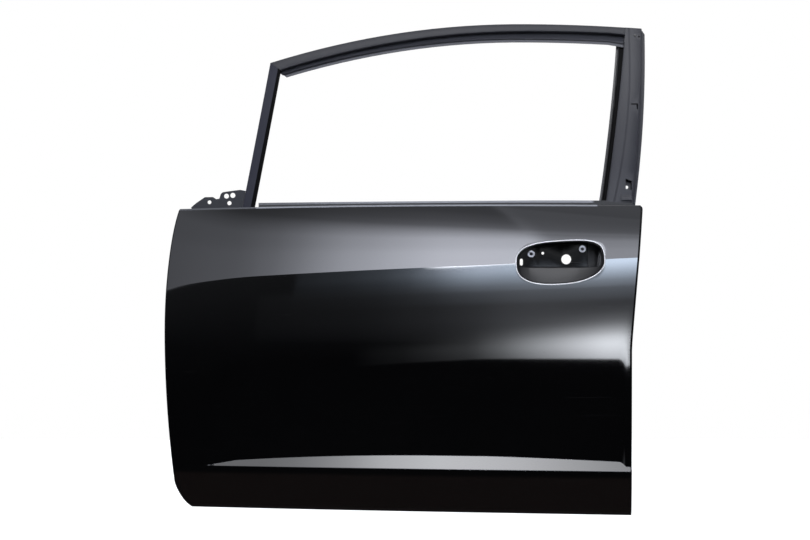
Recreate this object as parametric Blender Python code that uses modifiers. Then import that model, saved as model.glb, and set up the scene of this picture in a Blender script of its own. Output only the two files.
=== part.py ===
"""Bare front left door shell of a small car.

The origin is the centre of the upper hinge's mounting face. +X runs to the door's rear edge, +Y into the car and
+Z up. Sizes are in millimetres; the mesh builders turn them into metres.
"""

import math

import bmesh
import bpy
from mathutils import Vector

MM = 0.001

# Sheet gauges and the clearance left between neighbouring pieces
SKIN_T = 0.75
INNER_T = 0.75
FRAME_T = 1.0
BELT_T = 0.8
BRACKET_T = 1.5
HINGE_PLATE_T = 1.8
GAP = 0.3

# Outline of the skin, seen from outside
FRONT_EDGE_X = -24.0
FRONT_EDGE_Z = -150.0
FRONT_TOP_SWEEP = 26.0
FRONT_TOP_HOOK = 16.6
FRONT_LOW_SWEEP = 31.0
REAR_EDGE_X = 1056.6
REAR_FLARE_Z = -190.0
REAR_FLARE = 28.5
BELT_Z = 133.0
BELT_RISE = 0.0033
SILL_Z = -560.0
SILL_FALL = 0.0171
CORNER_LENGTH = 33.4
CORNER_HEIGHT = 60.0
CORNER_POWER = 1.5
TOP_CORNER_R = 10.0

# Surface of the skin: how far out it stands along its feature lines, where the plan view is flat
BELT_Y = -38.0
CREASE_Y = -68.0
WIDEST_Y = -74.5
WIDEST_Z = -190.0
SILL_TOP_Y = -71.7
SILL_FOOT_Y = -62.7
CREASE_SLOPE = 0.13
PLAN_SAG = 30.0
PLAN_FLAT_X = 700.0
PLAN_RUN = 720.0

# Shoulder crease and the ledge above the sill
CREASE_MID_Z = -26.0
CREASE_MID_X = 198.0
CREASE_RISE = 0.0495
CREASE_DROOP = 3.5e-4
LEDGE_Z = -458.5
LEDGE_FALL = 0.0182
LEDGE_HEIGHT = 28.0
LEDGE_DEPTH = 17.0
LEDGE_START_X = 85.0
LEDGE_FULL_X = 600.0
LEDGE_FADE_X = 650.0
LEDGE_FADE = 19.0

# Hem round the front, bottom and rear, and the fold along the belt
HEM_RETURN = 9.0
HEM_DEPTH = 2 * SKIN_T + INNER_T + 2 * GAP
BELT_FOLD = 7.7

# Handle pocket: an oval recess whose lower half is a scoop and whose upper half is open
POCKET_X = 891.5
POCKET_Z = 6.0
POCKET_HALF_LENGTH = 105.0
POCKET_HALF_HEIGHT = 48.5
POCKET_POWER = 3.2
POCKET_TILT = math.radians(2.5)
MOUTH_INSET = 3.5
MOUTH_FLOOR = -8.5
MOUTH_POWER = 4.0
SCOOP_DEPTH = 30.0
MOUTH_LIP_DEPTH = 9.0

# Window frame: a barrel surface that leans into the car
FRAME_FOOT_Y = -26.0
FRAME_FOOT_Z = 135.0
FRAME_LEAN = 0.15
FRAME_CURVE = 4.5e-4
HEADER_PEAK_X = 808.0
HEADER_PEAK_Z = 577.7
HEADER_FRONT_CURVE = 2.72e-4
HEADER_REAR_CURVE = 1.38e-4
HEADER_FACE_FRONT = 25.5
HEADER_FACE_REAR = 17.5
HEADER_LEG = 42.0
SASH_DEPTH = 20.0
SASH_LEG_STEP = 4.0
LIP_RETURN = 4.5
BEND_R = 2.0
FRONT_SASH_X = 156.4
FRONT_SASH_Z = 144.7
FRONT_SASH_RAKE = 0.185
FRONT_SASH_BOW = -5.0e-5
FRONT_SASH_WIDTH = 27.5
FRONT_SASH_LEG = 25.0
SASH_FOOT_Z = 72.0
SASH_JOINT = 0.4
HEADER_END_SLANT = 0.45

# Rear upright: where its feature lines stand at the foot, how they rake and how they bow
LIP_LINE = (1005.0, 0.1575, -4.0e-5)
STEP_LINE = (1025.0, 0.228, -3.0e-4)
EDGE_LINE = (1064.8, 0.118, -8.5e-5)
REAR_LINE = (1074.1, 0.137, -1.3e-4)
PILLAR_FOOT_Z = 169.0
PILLAR_HOLES = ((1083.3, 547.5), (1092.3, 545.6))
PILLAR_HOLE_R = 2.3
PILLAR_LANCE = ((1065.8, 380.8), (1081.6, 380.2), (1081.0, 366.0), (1078.4, 366.0), (1078.2, 377.4), (1065.8, 377.8))
PILLAR_WINDOW = ((1047.4, 174.5), (1060.8, 174.5), (1061.6, 195.8), (1047.4, 201.0))
PILLAR_SIGHT_HOLE = (1051.4, 181.6, 4.0)
PILLAR_TOP_Z = 553.0
PILLAR_CORNER_DROP = 13.0
PILLAR_STEP = 1.4
PILLAR_FLANGE_DEPTH = 13.0
INNER_SPREAD = 10.0
CHANNEL_WEB = 26.0
CHANNEL_LEG = 15.5
CHANNEL_LEG_TOP = 18.4
CHANNEL_LIP = 6.0
CHANNEL_LIP_STEP = 3.0
CHANNEL_TOP_Z = 535.0
LIP_TOP_Z = 526.0
RUN_CHANNEL_LOW_Z = -290.0

# Inner panel
INNER_Y = 42.0
INNER_TOP_Y = 18.0
INNER_BEND_Z = 60.0
INNER_TOP_Z = 128.0
WALL_RADIUS = 8.0
WALL_SETBACK = 10.5
HEM_INSET = 1.5
REAR_FLANGE = 12.5
REAR_WALL_X = 1026.0
REAR_STEP_LOW = 22.0
REAR_STEP_HIGH = 52.0
REAR_STEP_LOW_Z = -100.0
REAR_STEP_HIGH_Z = 40.0
BOTTOM_FLANGE = 15.0
BOTTOM_DRAFT = 30.0
FRONT_CORNER_R = 75.0
REAR_CORNER_R = 24.0

# Hinges, door check and latch
HINGE_SPACING = 350.0
HINGE_BOLT_SPACING = 48.0
UPPER_HINGE_LIP_Y = -14.0
LOWER_HINGE_LIP_Y = -27.0
HINGE_BOLT_R = 4.5
HINGE_PLATE_HEIGHT = 72.0
HINGE_WALL_MARGIN = 20.0
CHECK_ABOVE_HINGE = 192.0
CHECK_Z = CHECK_ABOVE_HINGE - HINGE_SPACING
LATCH_Z = 8.0
LATCH_Y = 10.0

# Impact beam
BEAM_R = 15.9
BEAM_WALL = 2.0
BEAM_ABOVE_HINGE = 114.0
BEAM_FRONT = (40.0, -26.5, BEAM_ABOVE_HINGE - HINGE_SPACING)
BEAM_REAR = (985.0, -43.0, -330.0)
SADDLE_LENGTH = 70.0

# Handle reinforcement
HANDLE_PLATE_Y = -33.0
HANDLE_PLATE_X0 = 786.0
HANDLE_PLATE_X1 = 958.0
HANDLE_BOLTS = ((826.3, 25.6), (945.0, 37.0))
HANDLE_BOLT_R = 4.0
HANDLE_COLLAR_R = 8.0
HANDLE_COLLAR_HEIGHT = 5.0
HANDLE_KEY_HOLE = (907.7, 13.1)
HANDLE_KEY_R = 11.5
HANDLE_PIN_HOLE = (853.2, 27.3)
HANDLE_PIN_R = 3.3
HANDLE_SLOT = (803.5, 6.6)

# Belt reinforcements
BELT_STRIP_TOP = (
    (192.0, 144.8), (336.0, 146.2), (522.0, 147.9), (847.0, 150.2), (940.0, 150.2), (1003.0, 149.7), (1012.0, 146.5),
    (1063.0, 144.0),
)
BELT_STRIP_LOW_Z = 112.0
BELT_STRIP_STANDOFF = 2.6
BELT_FOOT_HIGH_Z = 104.0
BELT_FOOT_LOW_Z = 88.0
INNER_RAIL_X0 = 60.0
INNER_RAIL_X1 = 1004.0
INNER_RAIL_DEPTH = 13.0

# Foot bracket and mirror bracket
FOOT_BRACKET_X = (1036.0, 1060.0)
MIRROR_PLATE_Y = -2.4
MIRROR_EDGE = (
    (44.0, 86.0), (38.0, 120.0), (33.9, 134.6), (46.0, 144.9), (66.0, 158.5), (84.8, 158.7), (92.4, 153.8),
    (99.7, 154.9), (103.0, 165.7), (107.6, 170.0), (129.2, 173.2), (148.7, 175.5),
)
MIRROR_TOP_Z = 173.2
MIRROR_HOLES = ((76.8, 146.5, 4.5), (116.5, 160.8, 5.8), (131.3, 162.6, 6.0), (123.3, 144.5, 5.0))
MIRROR_FLANGE = 9.0

# Inner panel openings
SPEAKER = (225.0, -395.0)
SPEAKER_R = 78.0
FRONT_ACCESS = (255.0, -225.0, 545.0, 5.0)
REAR_ACCESS = (650.0, -355.0, 925.0, -85.0)
LATCH_ACCESS = (950.0, -95.0, 1000.0, -30.0)
SPEAKER_RECESS_R = 98.0
BOX_RECESSES = (
    (235.0, -245.0, 556.0, 24.0, 54.0), (632.0, -374.0, 940.0, -67.0, 58.0), (620.0, -482.0, 985.0, -412.0, 24.0),
    (62.0, -222.0, 106.0, -92.0, 18.0),
)
RECESS_DEPTH = 6.0
RECESS_SLOPE = 6.0
REGULATOR_HOLES = ((420.0, -300.0), (560.0, -300.0), (420.0, -420.0), (560.0, -420.0), (600.0, -60.0), (600.0, 20.0))
TRIM_HOLES = (
    (45.0, -60.0), (45.0, -300.0), (85.0, -480.0), (330.0, -505.0), (480.0, -505.0), (640.0, -505.0),
    (800.0, -505.0), (960.0, -500.0), (995.0, -360.0), (995.0, -200.0), (120.0, 30.0), (700.0, 35.0),
)
LATCH_SCREWS = ((0.0, 38.0), (22.0, 38.0), (10.0, -26.0))
HARNESS_Z = -92.0
HARNESS_R = 17.0
DRAIN_X = (170.0, 520.0, 900.0)

PARTS = "door_shell"
CUTTERS = "door_shell_cutters"


# Scene, collections and materials


def clear_scene():
    for old in list(bpy.data.objects):
        bpy.data.objects.remove(old, do_unlink=True)


def collection(name):
    made = bpy.data.collections.new(name)
    bpy.context.scene.collection.children.link(made)
    return made


def paint(name, color, roughness, metallic=0.0):
    material = bpy.data.materials.new(name)
    material.use_nodes = True
    shader = material.node_tree.nodes["Principled BSDF"]
    shader.inputs["Base Color"].default_value = (*color, 1.0)
    shader.inputs["Roughness"].default_value = roughness
    shader.inputs["Metallic"].default_value = metallic
    return material


# Mesh builders


def add_object(name, mesh, material=None):
    obj = bpy.data.objects.new(name, mesh)
    bpy.data.collections[PARTS].objects.link(obj)
    if material:
        mesh.materials.append(material)
    return obj


def mesh_from(name, points, faces):
    """A mesh in metres from points in millimetres, with its faces turned outwards."""
    mesh = bpy.data.meshes.new(name)
    mesh.from_pydata([Vector(p) * MM for p in points], [], faces)
    mesh.validate()
    bm = bmesh.new()
    bm.from_mesh(mesh)
    bmesh.ops.recalc_face_normals(bm, faces=bm.faces)
    bm.to_mesh(mesh)
    bm.free()
    return mesh


def loft(name, rings, material=None):
    """A closed solid through rings of equal length, with both ends capped."""
    count = len(rings[0])
    points = [p for ring in rings for p in ring]
    last = len(points) - count
    faces = [tuple(reversed(range(count))), tuple(range(last, last + count))]
    for start in range(0, last, count):
        for j in range(count):
            k = (j + 1) % count
            faces.append((start + j, start + k, start + count + k, start + count + j))
    return add_object(name, mesh_from(name, points, faces), material)


def collar(name, rings, material):
    """A closed solid with a hole through it: four rings, outer and inner at each end."""
    count = len(rings[0])
    points = [p for ring in rings for p in ring]
    faces = []
    for i in range(len(rings)):
        a, b = i * count, (i + 1) % len(rings) * count
        faces += [(a + j, a + (j + 1) % count, b + (j + 1) % count, b + j) for j in range(count)]
    return add_object(name, mesh_from(name, points, faces), material)


def bend(path, radius, steps=2):
    """The path with its corners rounded, each by the same number of points."""
    made = [path[0]]
    for before, corner, after in zip(path, path[1:], path[2:]):
        corner = Vector(corner)
        to_before, to_after = Vector(before) - corner, Vector(after) - corner
        reach = min(radius, 0.45 * to_before.length, 0.45 * to_after.length)
        start = corner + to_before.normalized() * reach
        end = corner + to_after.normalized() * reach
        for i in range(steps + 1):
            t = i / steps
            made.append(tuple(start * (1 - t) ** 2 + corner * (2 * t * (1 - t)) + end * t**2))
    return made + [path[-1]]


def sheet_outline(path, thickness):
    """The closed outline of a sheet of this thickness whose middle follows a flat path."""
    left, right = [], []
    for i, point in enumerate(path):
        here = Vector(point)
        before = (here - Vector(path[i - 1])).normalized() if i else None
        after = (Vector(path[i + 1]) - here).normalized() if i + 1 < len(path) else None
        before = before or after
        after = after or before
        across = Vector((-(before + after).y, (before + after).x)).normalized()
        reach = thickness / 2 / across.dot(Vector((-before.y, before.x)))
        left.append(tuple(here + across * reach))
        right.append(tuple(here - across * reach))
    return left + right[::-1]


def sheet(name, stations, paths, thickness, material, radius=BEND_R):
    """Sheet metal swept through stations (origin, across, normal), with one path of bends for each."""
    rings = []
    for (origin, across, normal), path in zip(stations, paths):
        outline = sheet_outline(bend(path, radius), thickness)
        rings.append([origin + across * u + normal * n for u, n in outline])
    return loft(name, rings, material)


def strap(name, x_places, paths, thickness, material, radius=BEND_R):
    """Sheet metal swept along X, with its bends drawn in Y and Z."""
    stations = [(Vector((x, 0, 0)), Vector((0, 1, 0)), Vector((0, 0, 1))) for x in x_places]
    return sheet(name, stations, paths, thickness, material, radius)


def thicken(obj, thickness):
    """Gives an open surface its gauge, on the side away from its normals."""
    wall = obj.modifiers.new("gauge", "SOLIDIFY")
    wall.thickness = thickness * MM
    wall.offset = -1.0
    wall.use_even_offset = True


def combine(obj, other, operation):
    made = obj.modifiers.new(operation.lower(), "BOOLEAN")
    made.operation = operation
    made.solver = "EXACT"
    made.object = other


def as_helper(obj):
    bpy.data.collections[PARTS].objects.unlink(obj)
    bpy.data.collections[CUTTERS].objects.link(obj)
    obj.hide_render = True
    obj.display_type = "WIRE"
    return obj


def cut(obj, shapes):
    """Cuts closed prisms, each a pair of matching rings, out of an object."""
    points, faces = [], []
    for low, high in shapes:
        start, count = len(points), len(low)
        points += list(low) + list(high)
        faces.append([start + i for i in reversed(range(count))])
        faces.append([start + count + i for i in range(count)])
        for i in range(count):
            k = (i + 1) % count
            faces.append((start + i, start + k, start + count + k, start + count + i))
    name = obj.name + "_cut_" + str(len(obj.modifiers))
    combine(obj, as_helper(add_object(name, mesh_from(name, points, faces))), "DIFFERENCE")


def join(obj, other):
    """Fuses a second shape of the same piece into it."""
    combine(obj, as_helper(other), "UNION")


def circle(cx, cy, radius, sides=12):
    turn = 2 * math.pi / sides
    return [(cx + radius * math.cos(turn * i), cy + radius * math.sin(turn * i)) for i in range(sides)]


def hexagon(cx, cy, across_flats):
    """A hexagon drawn with twelve points, so that it matches a round bore of twelve."""
    points = []
    for i in range(12):
        radius = across_flats / 2 / math.cos(math.pi / 6) if i % 2 == 0 else across_flats / 2
        angle = math.pi / 6 * i
        points.append((cx + radius * math.cos(angle), cy + radius * math.sin(angle)))
    return points


def rounded_box(x0, y0, x1, y1, radius, steps=3):
    """A rectangle with round corners, as points in order."""
    centres = ((x1 - radius, y1 - radius), (x0 + radius, y1 - radius))
    centres += ((x0 + radius, y0 + radius), (x1 - radius, y0 + radius))
    points = []
    for quarter, (cx, cy) in enumerate(centres):
        for i in range(steps + 1):
            angle = (quarter + i / steps) * math.pi / 2
            points.append((cx + radius * math.cos(angle), cy + radius * math.sin(angle)))
    return points


def along_x(outline, x0, x1):
    """The two end rings of a prism along X, from an outline in Y and Z."""
    return [(x0, y, z) for y, z in outline], [(x1, y, z) for y, z in outline]


def along_y(outline, y0, y1):
    return [(x, y0, z) for x, z in outline], [(x, y1, z) for x, z in outline]


def along_z(outline, z0, z1):
    return [(x, y, z0) for x, y in outline], [(x, y, z1) for x, y in outline]


def mix(a, b, share):
    return a + (b - a) * share


# Skin surface


def plan_y(x):
    """How far the door curves into the car towards its front edge."""
    return PLAN_SAG * (max(0.0, PLAN_FLAT_X - x) / PLAN_RUN) ** 2


def belt_z(x):
    return BELT_Z + BELT_RISE * x


def sill_z(x):
    return SILL_Z - SILL_FALL * x


def lower_corner_inset(height):
    """How far the front lower corner is cut back at a height above the bottom edge."""
    share = min(1.0, max(0.0, (CORNER_HEIGHT - height) / CORNER_HEIGHT))
    return CORNER_LENGTH * (1 - (1 - share**CORNER_POWER) ** (1 / CORNER_POWER))


def upper_corner_inset(depth):
    rise = max(0.0, TOP_CORNER_R - depth)
    return TOP_CORNER_R - math.sqrt(TOP_CORNER_R**2 - min(rise, TOP_CORNER_R) ** 2)


def skin_front_x(z):
    if z > FRONT_EDGE_Z:
        t = (z - FRONT_EDGE_Z) / (BELT_Z - FRONT_EDGE_Z)
        return FRONT_EDGE_X + FRONT_TOP_SWEEP * t**2 + FRONT_TOP_HOOK * t**8
    t = (FRONT_EDGE_Z - z) / (FRONT_EDGE_Z - SILL_Z)
    return FRONT_EDGE_X + FRONT_LOW_SWEEP * t**2 + lower_corner_inset(z - SILL_Z)


def skin_rear_x(z):
    t = max(0.0, (z - REAR_FLARE_Z) / (BELT_Z - REAR_FLARE_Z))
    return REAR_EDGE_X + REAR_FLARE * t**1.05


def crease_z(x):
    behind = x - CREASE_MID_X
    return CREASE_MID_Z + CREASE_RISE * behind - CREASE_DROOP * min(0.0, behind) ** 2


def ledge_share(x):
    """The ledge's height at this place, as a share of its full height."""
    rise = min(1.0, max(0.0, (x - LEDGE_START_X) / (LEDGE_FULL_X - LEDGE_START_X)))
    past = max(0.0, x - LEDGE_FADE_X) / (REAR_EDGE_X - LEDGE_FADE_X)
    return math.sin(math.pi / 2 * rise) ** 0.8 - LEDGE_FADE / LEDGE_HEIGHT * past**2.2


def ledge_low_z(x):
    return LEDGE_Z - LEDGE_FALL * x


def ledge_high_z(x):
    return ledge_low_z(x) + max(1.5, LEDGE_HEIGHT * ledge_share(x))


def skin_y(x, z):
    """The outside of the skin."""
    crease, belt = crease_z(x), belt_z(x)
    high, low = ledge_high_z(x), ledge_low_z(x)
    ledge_y = SILL_TOP_Y + LEDGE_DEPTH * max(0.0, ledge_share(x))
    if z >= crease:
        rise, span = z - crease, belt - crease
        bow = (BELT_Y - CREASE_Y - CREASE_SLOPE * span) / span**2
        return plan_y(x) + CREASE_Y + CREASE_SLOPE * rise + bow * rise**2
    if z >= WIDEST_Z:
        return plan_y(x) + mix(WIDEST_Y, CREASE_Y, ((z - WIDEST_Z) / (crease - WIDEST_Z)) ** 2)
    if z >= high:
        return plan_y(x) + mix(WIDEST_Y, ledge_y, ((WIDEST_Z - z) / (WIDEST_Z - high)) ** 2)
    if z >= low:
        return plan_y(x) + mix(SILL_TOP_Y, ledge_y, (z - low) / (high - low))
    share = (low - z) / (low - sill_z(x))
    return plan_y(x) + mix(SILL_TOP_Y, SILL_FOOT_Y, share**1.5)


def skin_back_y(x, z):
    """The side of the skin that faces the car, with the usual clearance."""
    return skin_y(x, z) + SKIN_T + GAP


def stretch(x, z):
    """How much further apart layers stand along Y where the skin slopes."""
    here = skin_y(x, z)
    slope = max(abs(skin_y(x, z + 1.0) - here), abs(here - skin_y(x, z - 1.0)))
    return math.sqrt(1 + slope**2)


def hem_y(x, z):
    """The hem's return, on the side that faces the car."""
    return skin_y(x, z) + HEM_DEPTH * stretch(x, z)


# Rows follow the feature lines: (upper line, lower line, share of the way down)
SKIN_ROWS = (
    [(belt_z, crease_z, share) for share in (0.0, 0.02, 0.065, 0.2, 0.35, 0.52, 0.66, 0.82)]
    + [(crease_z, ledge_high_z, share) for share in (0.0, 0.05, 0.095, 0.14, 0.22, 0.33, 0.45, 0.58, 0.72, 0.86)]
    + [(ledge_high_z, ledge_low_z, 0.0)]
    + [(ledge_low_z, sill_z, share) for share in (0.0, 0.38, 0.62, 0.82, 0.95, 1.0)]
)
INNER_TOP_ROW = 2
POCKET_ROWS = (5, 11)
SKIN_COLUMNS = (0.0, 0.022, 0.05, 0.085, 0.135, 0.2, 0.275, 0.35, 0.425, 0.505, 0.585, 0.66)
SKIN_COLUMNS += tuple(mix(0.727, 0.968, share) for share in (0.0, 0.17, 0.34, 0.5, 0.66, 0.83, 1.0)) + (1.0,)
POCKET_COLUMNS = (12, 18)
LAST_ROW = len(SKIN_ROWS) - 1
LAST_COLUMN = len(SKIN_COLUMNS) - 1


def row_z(row, x):
    upper, lower, share = SKIN_ROWS[row]
    return mix(upper(x), lower(x), share)


def skin_place(row, column):
    """X and Z of a grid point, found by turns because each depends on the other."""
    share = SKIN_COLUMNS[column]
    x = share * REAR_EDGE_X
    for _ in range(12):
        z = row_z(row, x)
        rear = skin_rear_x(z) - (upper_corner_inset(belt_z(x) - z) if row < LAST_ROW else 0.0)
        x = mix(skin_front_x(z), rear, share)
    return x, row_z(row, x)


class EdgePlace:
    """One place on the skin's outline, with its row and the way into the panel."""

    def __init__(self, row, column):
        self.x, self.z = skin_place(row, column)
        self.row = row
        self.side = 0
        if column == 0:
            self.side = 1
        elif column == LAST_COLUMN:
            self.side = -1
        self.on_bottom = row == LAST_ROW
        self.way = Vector((0.0, 1.0))

    def inset(self, distance):
        """X and Z at a distance inside the outline, on the same row of the skin where there is one."""
        if self.side and not self.on_bottom and abs(self.way.y) < 0.5:
            x = self.x + self.side * distance
            return x, row_z(self.row, x)
        return self.x + self.way.x * distance, self.z + self.way.y * distance


def outline_places():
    """The outline from the front top corner down, along the bottom and up the rear."""
    places = [EdgePlace(row, 0) for row in range(LAST_ROW + 1)]
    places += [EdgePlace(LAST_ROW, column) for column in range(1, LAST_COLUMN + 1)]
    places += [EdgePlace(row, LAST_COLUMN) for row in range(LAST_ROW - 1, -1, -1)]
    for before, place, after in zip(places, places[1:], places[2:]):
        arriving = Vector((place.x - before.x, place.z - before.z)).normalized()
        leaving = Vector((after.x - place.x, after.z - place.z)).normalized()
        run = (arriving + leaving).normalized()
        place.way = Vector((-run.y, run.x))
    places[0].way = Vector((1.0, 0.0))
    places[-1].way = Vector((-1.0, 0.0))
    return places


# Outer panel


def pocket_ring(inset, power, floor, spots):
    """An oval about the pocket's centre; the floor, if given, is where its lower half is cut off."""
    ring = []
    for angle in spots:
        c, s = math.cos(angle), math.sin(angle)
        length, height = POCKET_HALF_LENGTH - inset, POCKET_HALF_HEIGHT - inset
        middle = 0.0
        if floor is not None:
            middle = (height + floor) / 2
            height = (height - floor) / 2
        reach = (abs(c) ** power + abs(s) ** power) ** (-1 / power)
        u, v = length * c * reach, middle + height * s * reach
        x = POCKET_X + u * math.cos(POCKET_TILT) - v * math.sin(POCKET_TILT)
        z = POCKET_Z + u * math.sin(POCKET_TILT) + v * math.cos(POCKET_TILT)
        ring.append((x, z))
    return ring


def pocket_rings(border):
    """Rings from the skin's rim round the pocket, down its wall and scoop, to the mouth's edge."""
    spots = []
    for x, z in border:
        spots.append(math.atan2((z - POCKET_Z) / POCKET_HALF_HEIGHT, (x - POCKET_X) / POCKET_HALF_LENGTH))
    rim = pocket_ring(0.0, POCKET_POWER, None, spots)
    mouth = pocket_ring(MOUTH_INSET, MOUTH_POWER, MOUTH_FLOOR, spots)
    rings = [[(x, skin_y(x, z), z) for x, z in rim]]
    for share, sink in ((0.12, 0.3), (0.45, 0.74), (1.0, 1.0)):
        ring = []
        for (x0, z0), (x1, z1) in zip(rim, mouth):
            width = max(0.0, math.hypot(x1 - x0, z1 - z0) - MOUTH_INSET)
            depth = mix(MOUTH_LIP_DEPTH, SCOOP_DEPTH, min(1.0, width / (POCKET_HALF_HEIGHT + MOUTH_FLOOR)))
            ring.append((mix(x0, x1, share), skin_y(x0, z0) + depth * sink, mix(z0, z1, share)))
        rings.append(ring)
    return rings


def hem_reach(place, corner):
    """The hem's return, narrowed beside the square lower corner."""
    return min(HEM_RETURN, 4.5 + 0.35 * math.hypot(place.x - corner.x, place.z - corner.z))


def make_outer_panel(material):
    points, index, faces = [], {}, []

    def spot(key, point):
        if key not in index:
            index[key] = len(points)
            points.append(point)
        return index[key]

    def on_skin(row, column):
        x, z = skin_place(row, column)
        return spot((row, column), (x, skin_y(x, z), z))

    (top, bottom), (left, right) = POCKET_ROWS, POCKET_COLUMNS
    for row in range(LAST_ROW):
        for column in range(LAST_COLUMN):
            if not (top <= row < bottom and left <= column < right):
                corners = ((row, column), (row + 1, column), (row + 1, column + 1), (row, column + 1))
                faces.append(tuple(on_skin(*corner) for corner in corners))

    border = [(bottom, c) for c in range(left, right)] + [(r, right) for r in range(bottom, top, -1)]
    border += [(top, c) for c in range(right, left, -1)] + [(r, left) for r in range(top, bottom)]
    loops = [[on_skin(*place) for place in border]]
    for i, ring in enumerate(pocket_rings([skin_place(*place) for place in border])):
        loops.append([spot(("pocket", i, j), point) for j, point in enumerate(ring)])
    for outer, inner in zip(loops, loops[1:]):
        for j in range(len(border)):
            k = (j + 1) % len(border)
            faces.append((outer[j], outer[k], inner[k], inner[j]))

    places = outline_places()
    corner = places[LAST_ROW + LAST_COLUMN]
    hem = []
    for i, place in enumerate(places[1:-1]):
        x, z = place.inset(hem_reach(place, corner))
        edge = spot((place.row, LAST_COLUMN if place.side < 0 else 0), None) if place.side else None
        if edge is None:
            edge = on_skin(LAST_ROW, i + 1 - LAST_ROW)
        fold = spot(("fold", i), (place.x, hem_y(place.x, place.z), place.z))
        hem.append((edge, fold, spot(("back", i), (x, hem_y(x, z), z))))
    for (a0, b0, c0), (a1, b1, c1) in zip(hem, hem[1:]):
        faces += [(a0, b0, b1, a1), (b0, c0, c1, b1)]

    for column in range(1, LAST_COLUMN - 1):
        pair = []
        for c in (column, column + 1):
            x, z = skin_place(0, c)
            pair.append((on_skin(0, c), spot(("belt", c), (x, skin_y(x, z) + BELT_FOLD, z))))
        (a0, b0), (a1, b1) = pair
        faces.append((a0, a1, b1, b0))

    mesh = mesh_from("outer_panel", points, faces)
    face_towards(mesh, Vector((0, -1, 0)))
    panel = add_object("outer_panel", mesh, material)
    thicken(panel, SKIN_T)


def face_towards(mesh, way):
    """Turns an open surface so that its largest face looks this way."""
    bm = bmesh.new()
    bm.from_mesh(mesh)
    if max(bm.faces, key=lambda face: face.calc_area()).normal.dot(way) < 0:
        bmesh.ops.reverse_faces(bm, faces=bm.faces)
    bm.to_mesh(mesh)
    bm.free()


# Inner panel


def inner_y(z):
    """The inner panel's face, which leans outwards above its bend."""
    share = max(0.0, (z - INNER_BEND_Z) / (INNER_TOP_Z - INNER_BEND_Z))
    return mix(INNER_Y, INNER_TOP_Y, share)


def rear_step(z):
    share = (z - REAR_STEP_LOW_Z) / (REAR_STEP_HIGH_Z - REAR_STEP_LOW_Z)
    return mix(REAR_STEP_LOW, REAR_STEP_HIGH, min(1.0, max(0.0, share)))


def front_wall_x(z):
    """The hinge wall: flat past the lower hinge's plate, and further down it follows the skin's front edge."""
    if 0.0 >= z >= -HINGE_SPACING - HINGE_PLATE_HEIGHT / 2 - HINGE_WALL_MARGIN:
        return 0.0
    return max(0.0, skin_front_x(max(z, SILL_Z + CORNER_HEIGHT)) + WALL_SETBACK)


def flange_y(x, z):
    """The side of the hem flange that faces the car."""
    return skin_y(x, z) + (SKIN_T + GAP + INNER_T) * stretch(x, z)


def face_edge(x, z, way):
    """The rounded edge between a wall and the inner panel's face; way points from the wall inwards."""
    spots = []
    for inset, drop in ((0.0, WALL_RADIUS), (0.3 * WALL_RADIUS, 0.3 * WALL_RADIUS), (WALL_RADIUS, 0.0)):
        spots.append((x + way * inset, inner_y(z) - drop, z))
    return spots


def rear_station(place, level):
    """From the rear hem flange over the latch step to the face."""
    z = place.z
    edge, foot = place.inset(HEM_INSET), place.inset(REAR_FLANGE)
    y0 = flange_y(*foot)
    high = y0 + rear_step(z)
    spots = [(edge[0], flange_y(*edge), edge[1]), (foot[0], y0, foot[1])]
    spots += [(foot[0] - 2.0, high, z), (REAR_WALL_X, high, z)]
    return spots + face_edge(REAR_WALL_X, level or z, -1)


def front_station(place, level):
    """From the front hem flange up the hinge wall to the face."""
    z, zf = place.z, level or place.z
    edge = place.inset(HEM_INSET)
    foot_x, face_x = front_wall_x(z), front_wall_x(zf)
    foot = (foot_x, row_z(place.row, foot_x))
    y0 = flange_y(*foot)
    spots = [(edge[0], flange_y(*edge), edge[1]), (foot[0], y0, foot[1]), (foot_x, y0 + 8.0, z)]
    spots.append((mix(foot_x, face_x, 0.5), y0 + REAR_STEP_LOW, mix(z, zf, 0.5)))
    return spots + face_edge(face_x, zf, 1)


def lower_station(place, centre, radius, end):
    """Round the lower edge; end is how far the wall stands in from its foot where it meets an upright wall."""
    away = Vector((place.x, place.z)) - centre
    away = away.normalized() if centre.y > place.z and radius else Vector((0.0, -1.0))
    down = abs(away.y)
    if end:
        foot = centre + away * radius
    else:
        foot = Vector((place.x, place.z)) - away * mix(WALL_SETBACK, BOTTOM_FLANGE, down)
    edge = place.inset(HEM_INSET)
    y0 = flange_y(*foot)
    spots = [(edge[0], flange_y(*edge), edge[1]), (foot.x, y0, foot.y)]
    levels = (
        (mix(2.0 if end else 0.0, 2.0, down), y0 + mix(REAR_STEP_LOW if end else 8.0, 8.0, down)),
        (mix(end, 7.0, down), y0 + REAR_STEP_LOW),
        (mix(end, BOTTOM_DRAFT - 2.0, down), INNER_Y - WALL_RADIUS),
        (mix(end + 0.3 * WALL_RADIUS, BOTTOM_DRAFT + 1.0, down), INNER_Y - 0.3 * WALL_RADIUS),
        (mix(end + WALL_RADIUS, BOTTOM_DRAFT + WALL_RADIUS, down), INNER_Y),
    )
    for inset, y in levels:
        at = foot - away * inset
        spots.append((at.x, y, at.y))
    return spots


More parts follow.
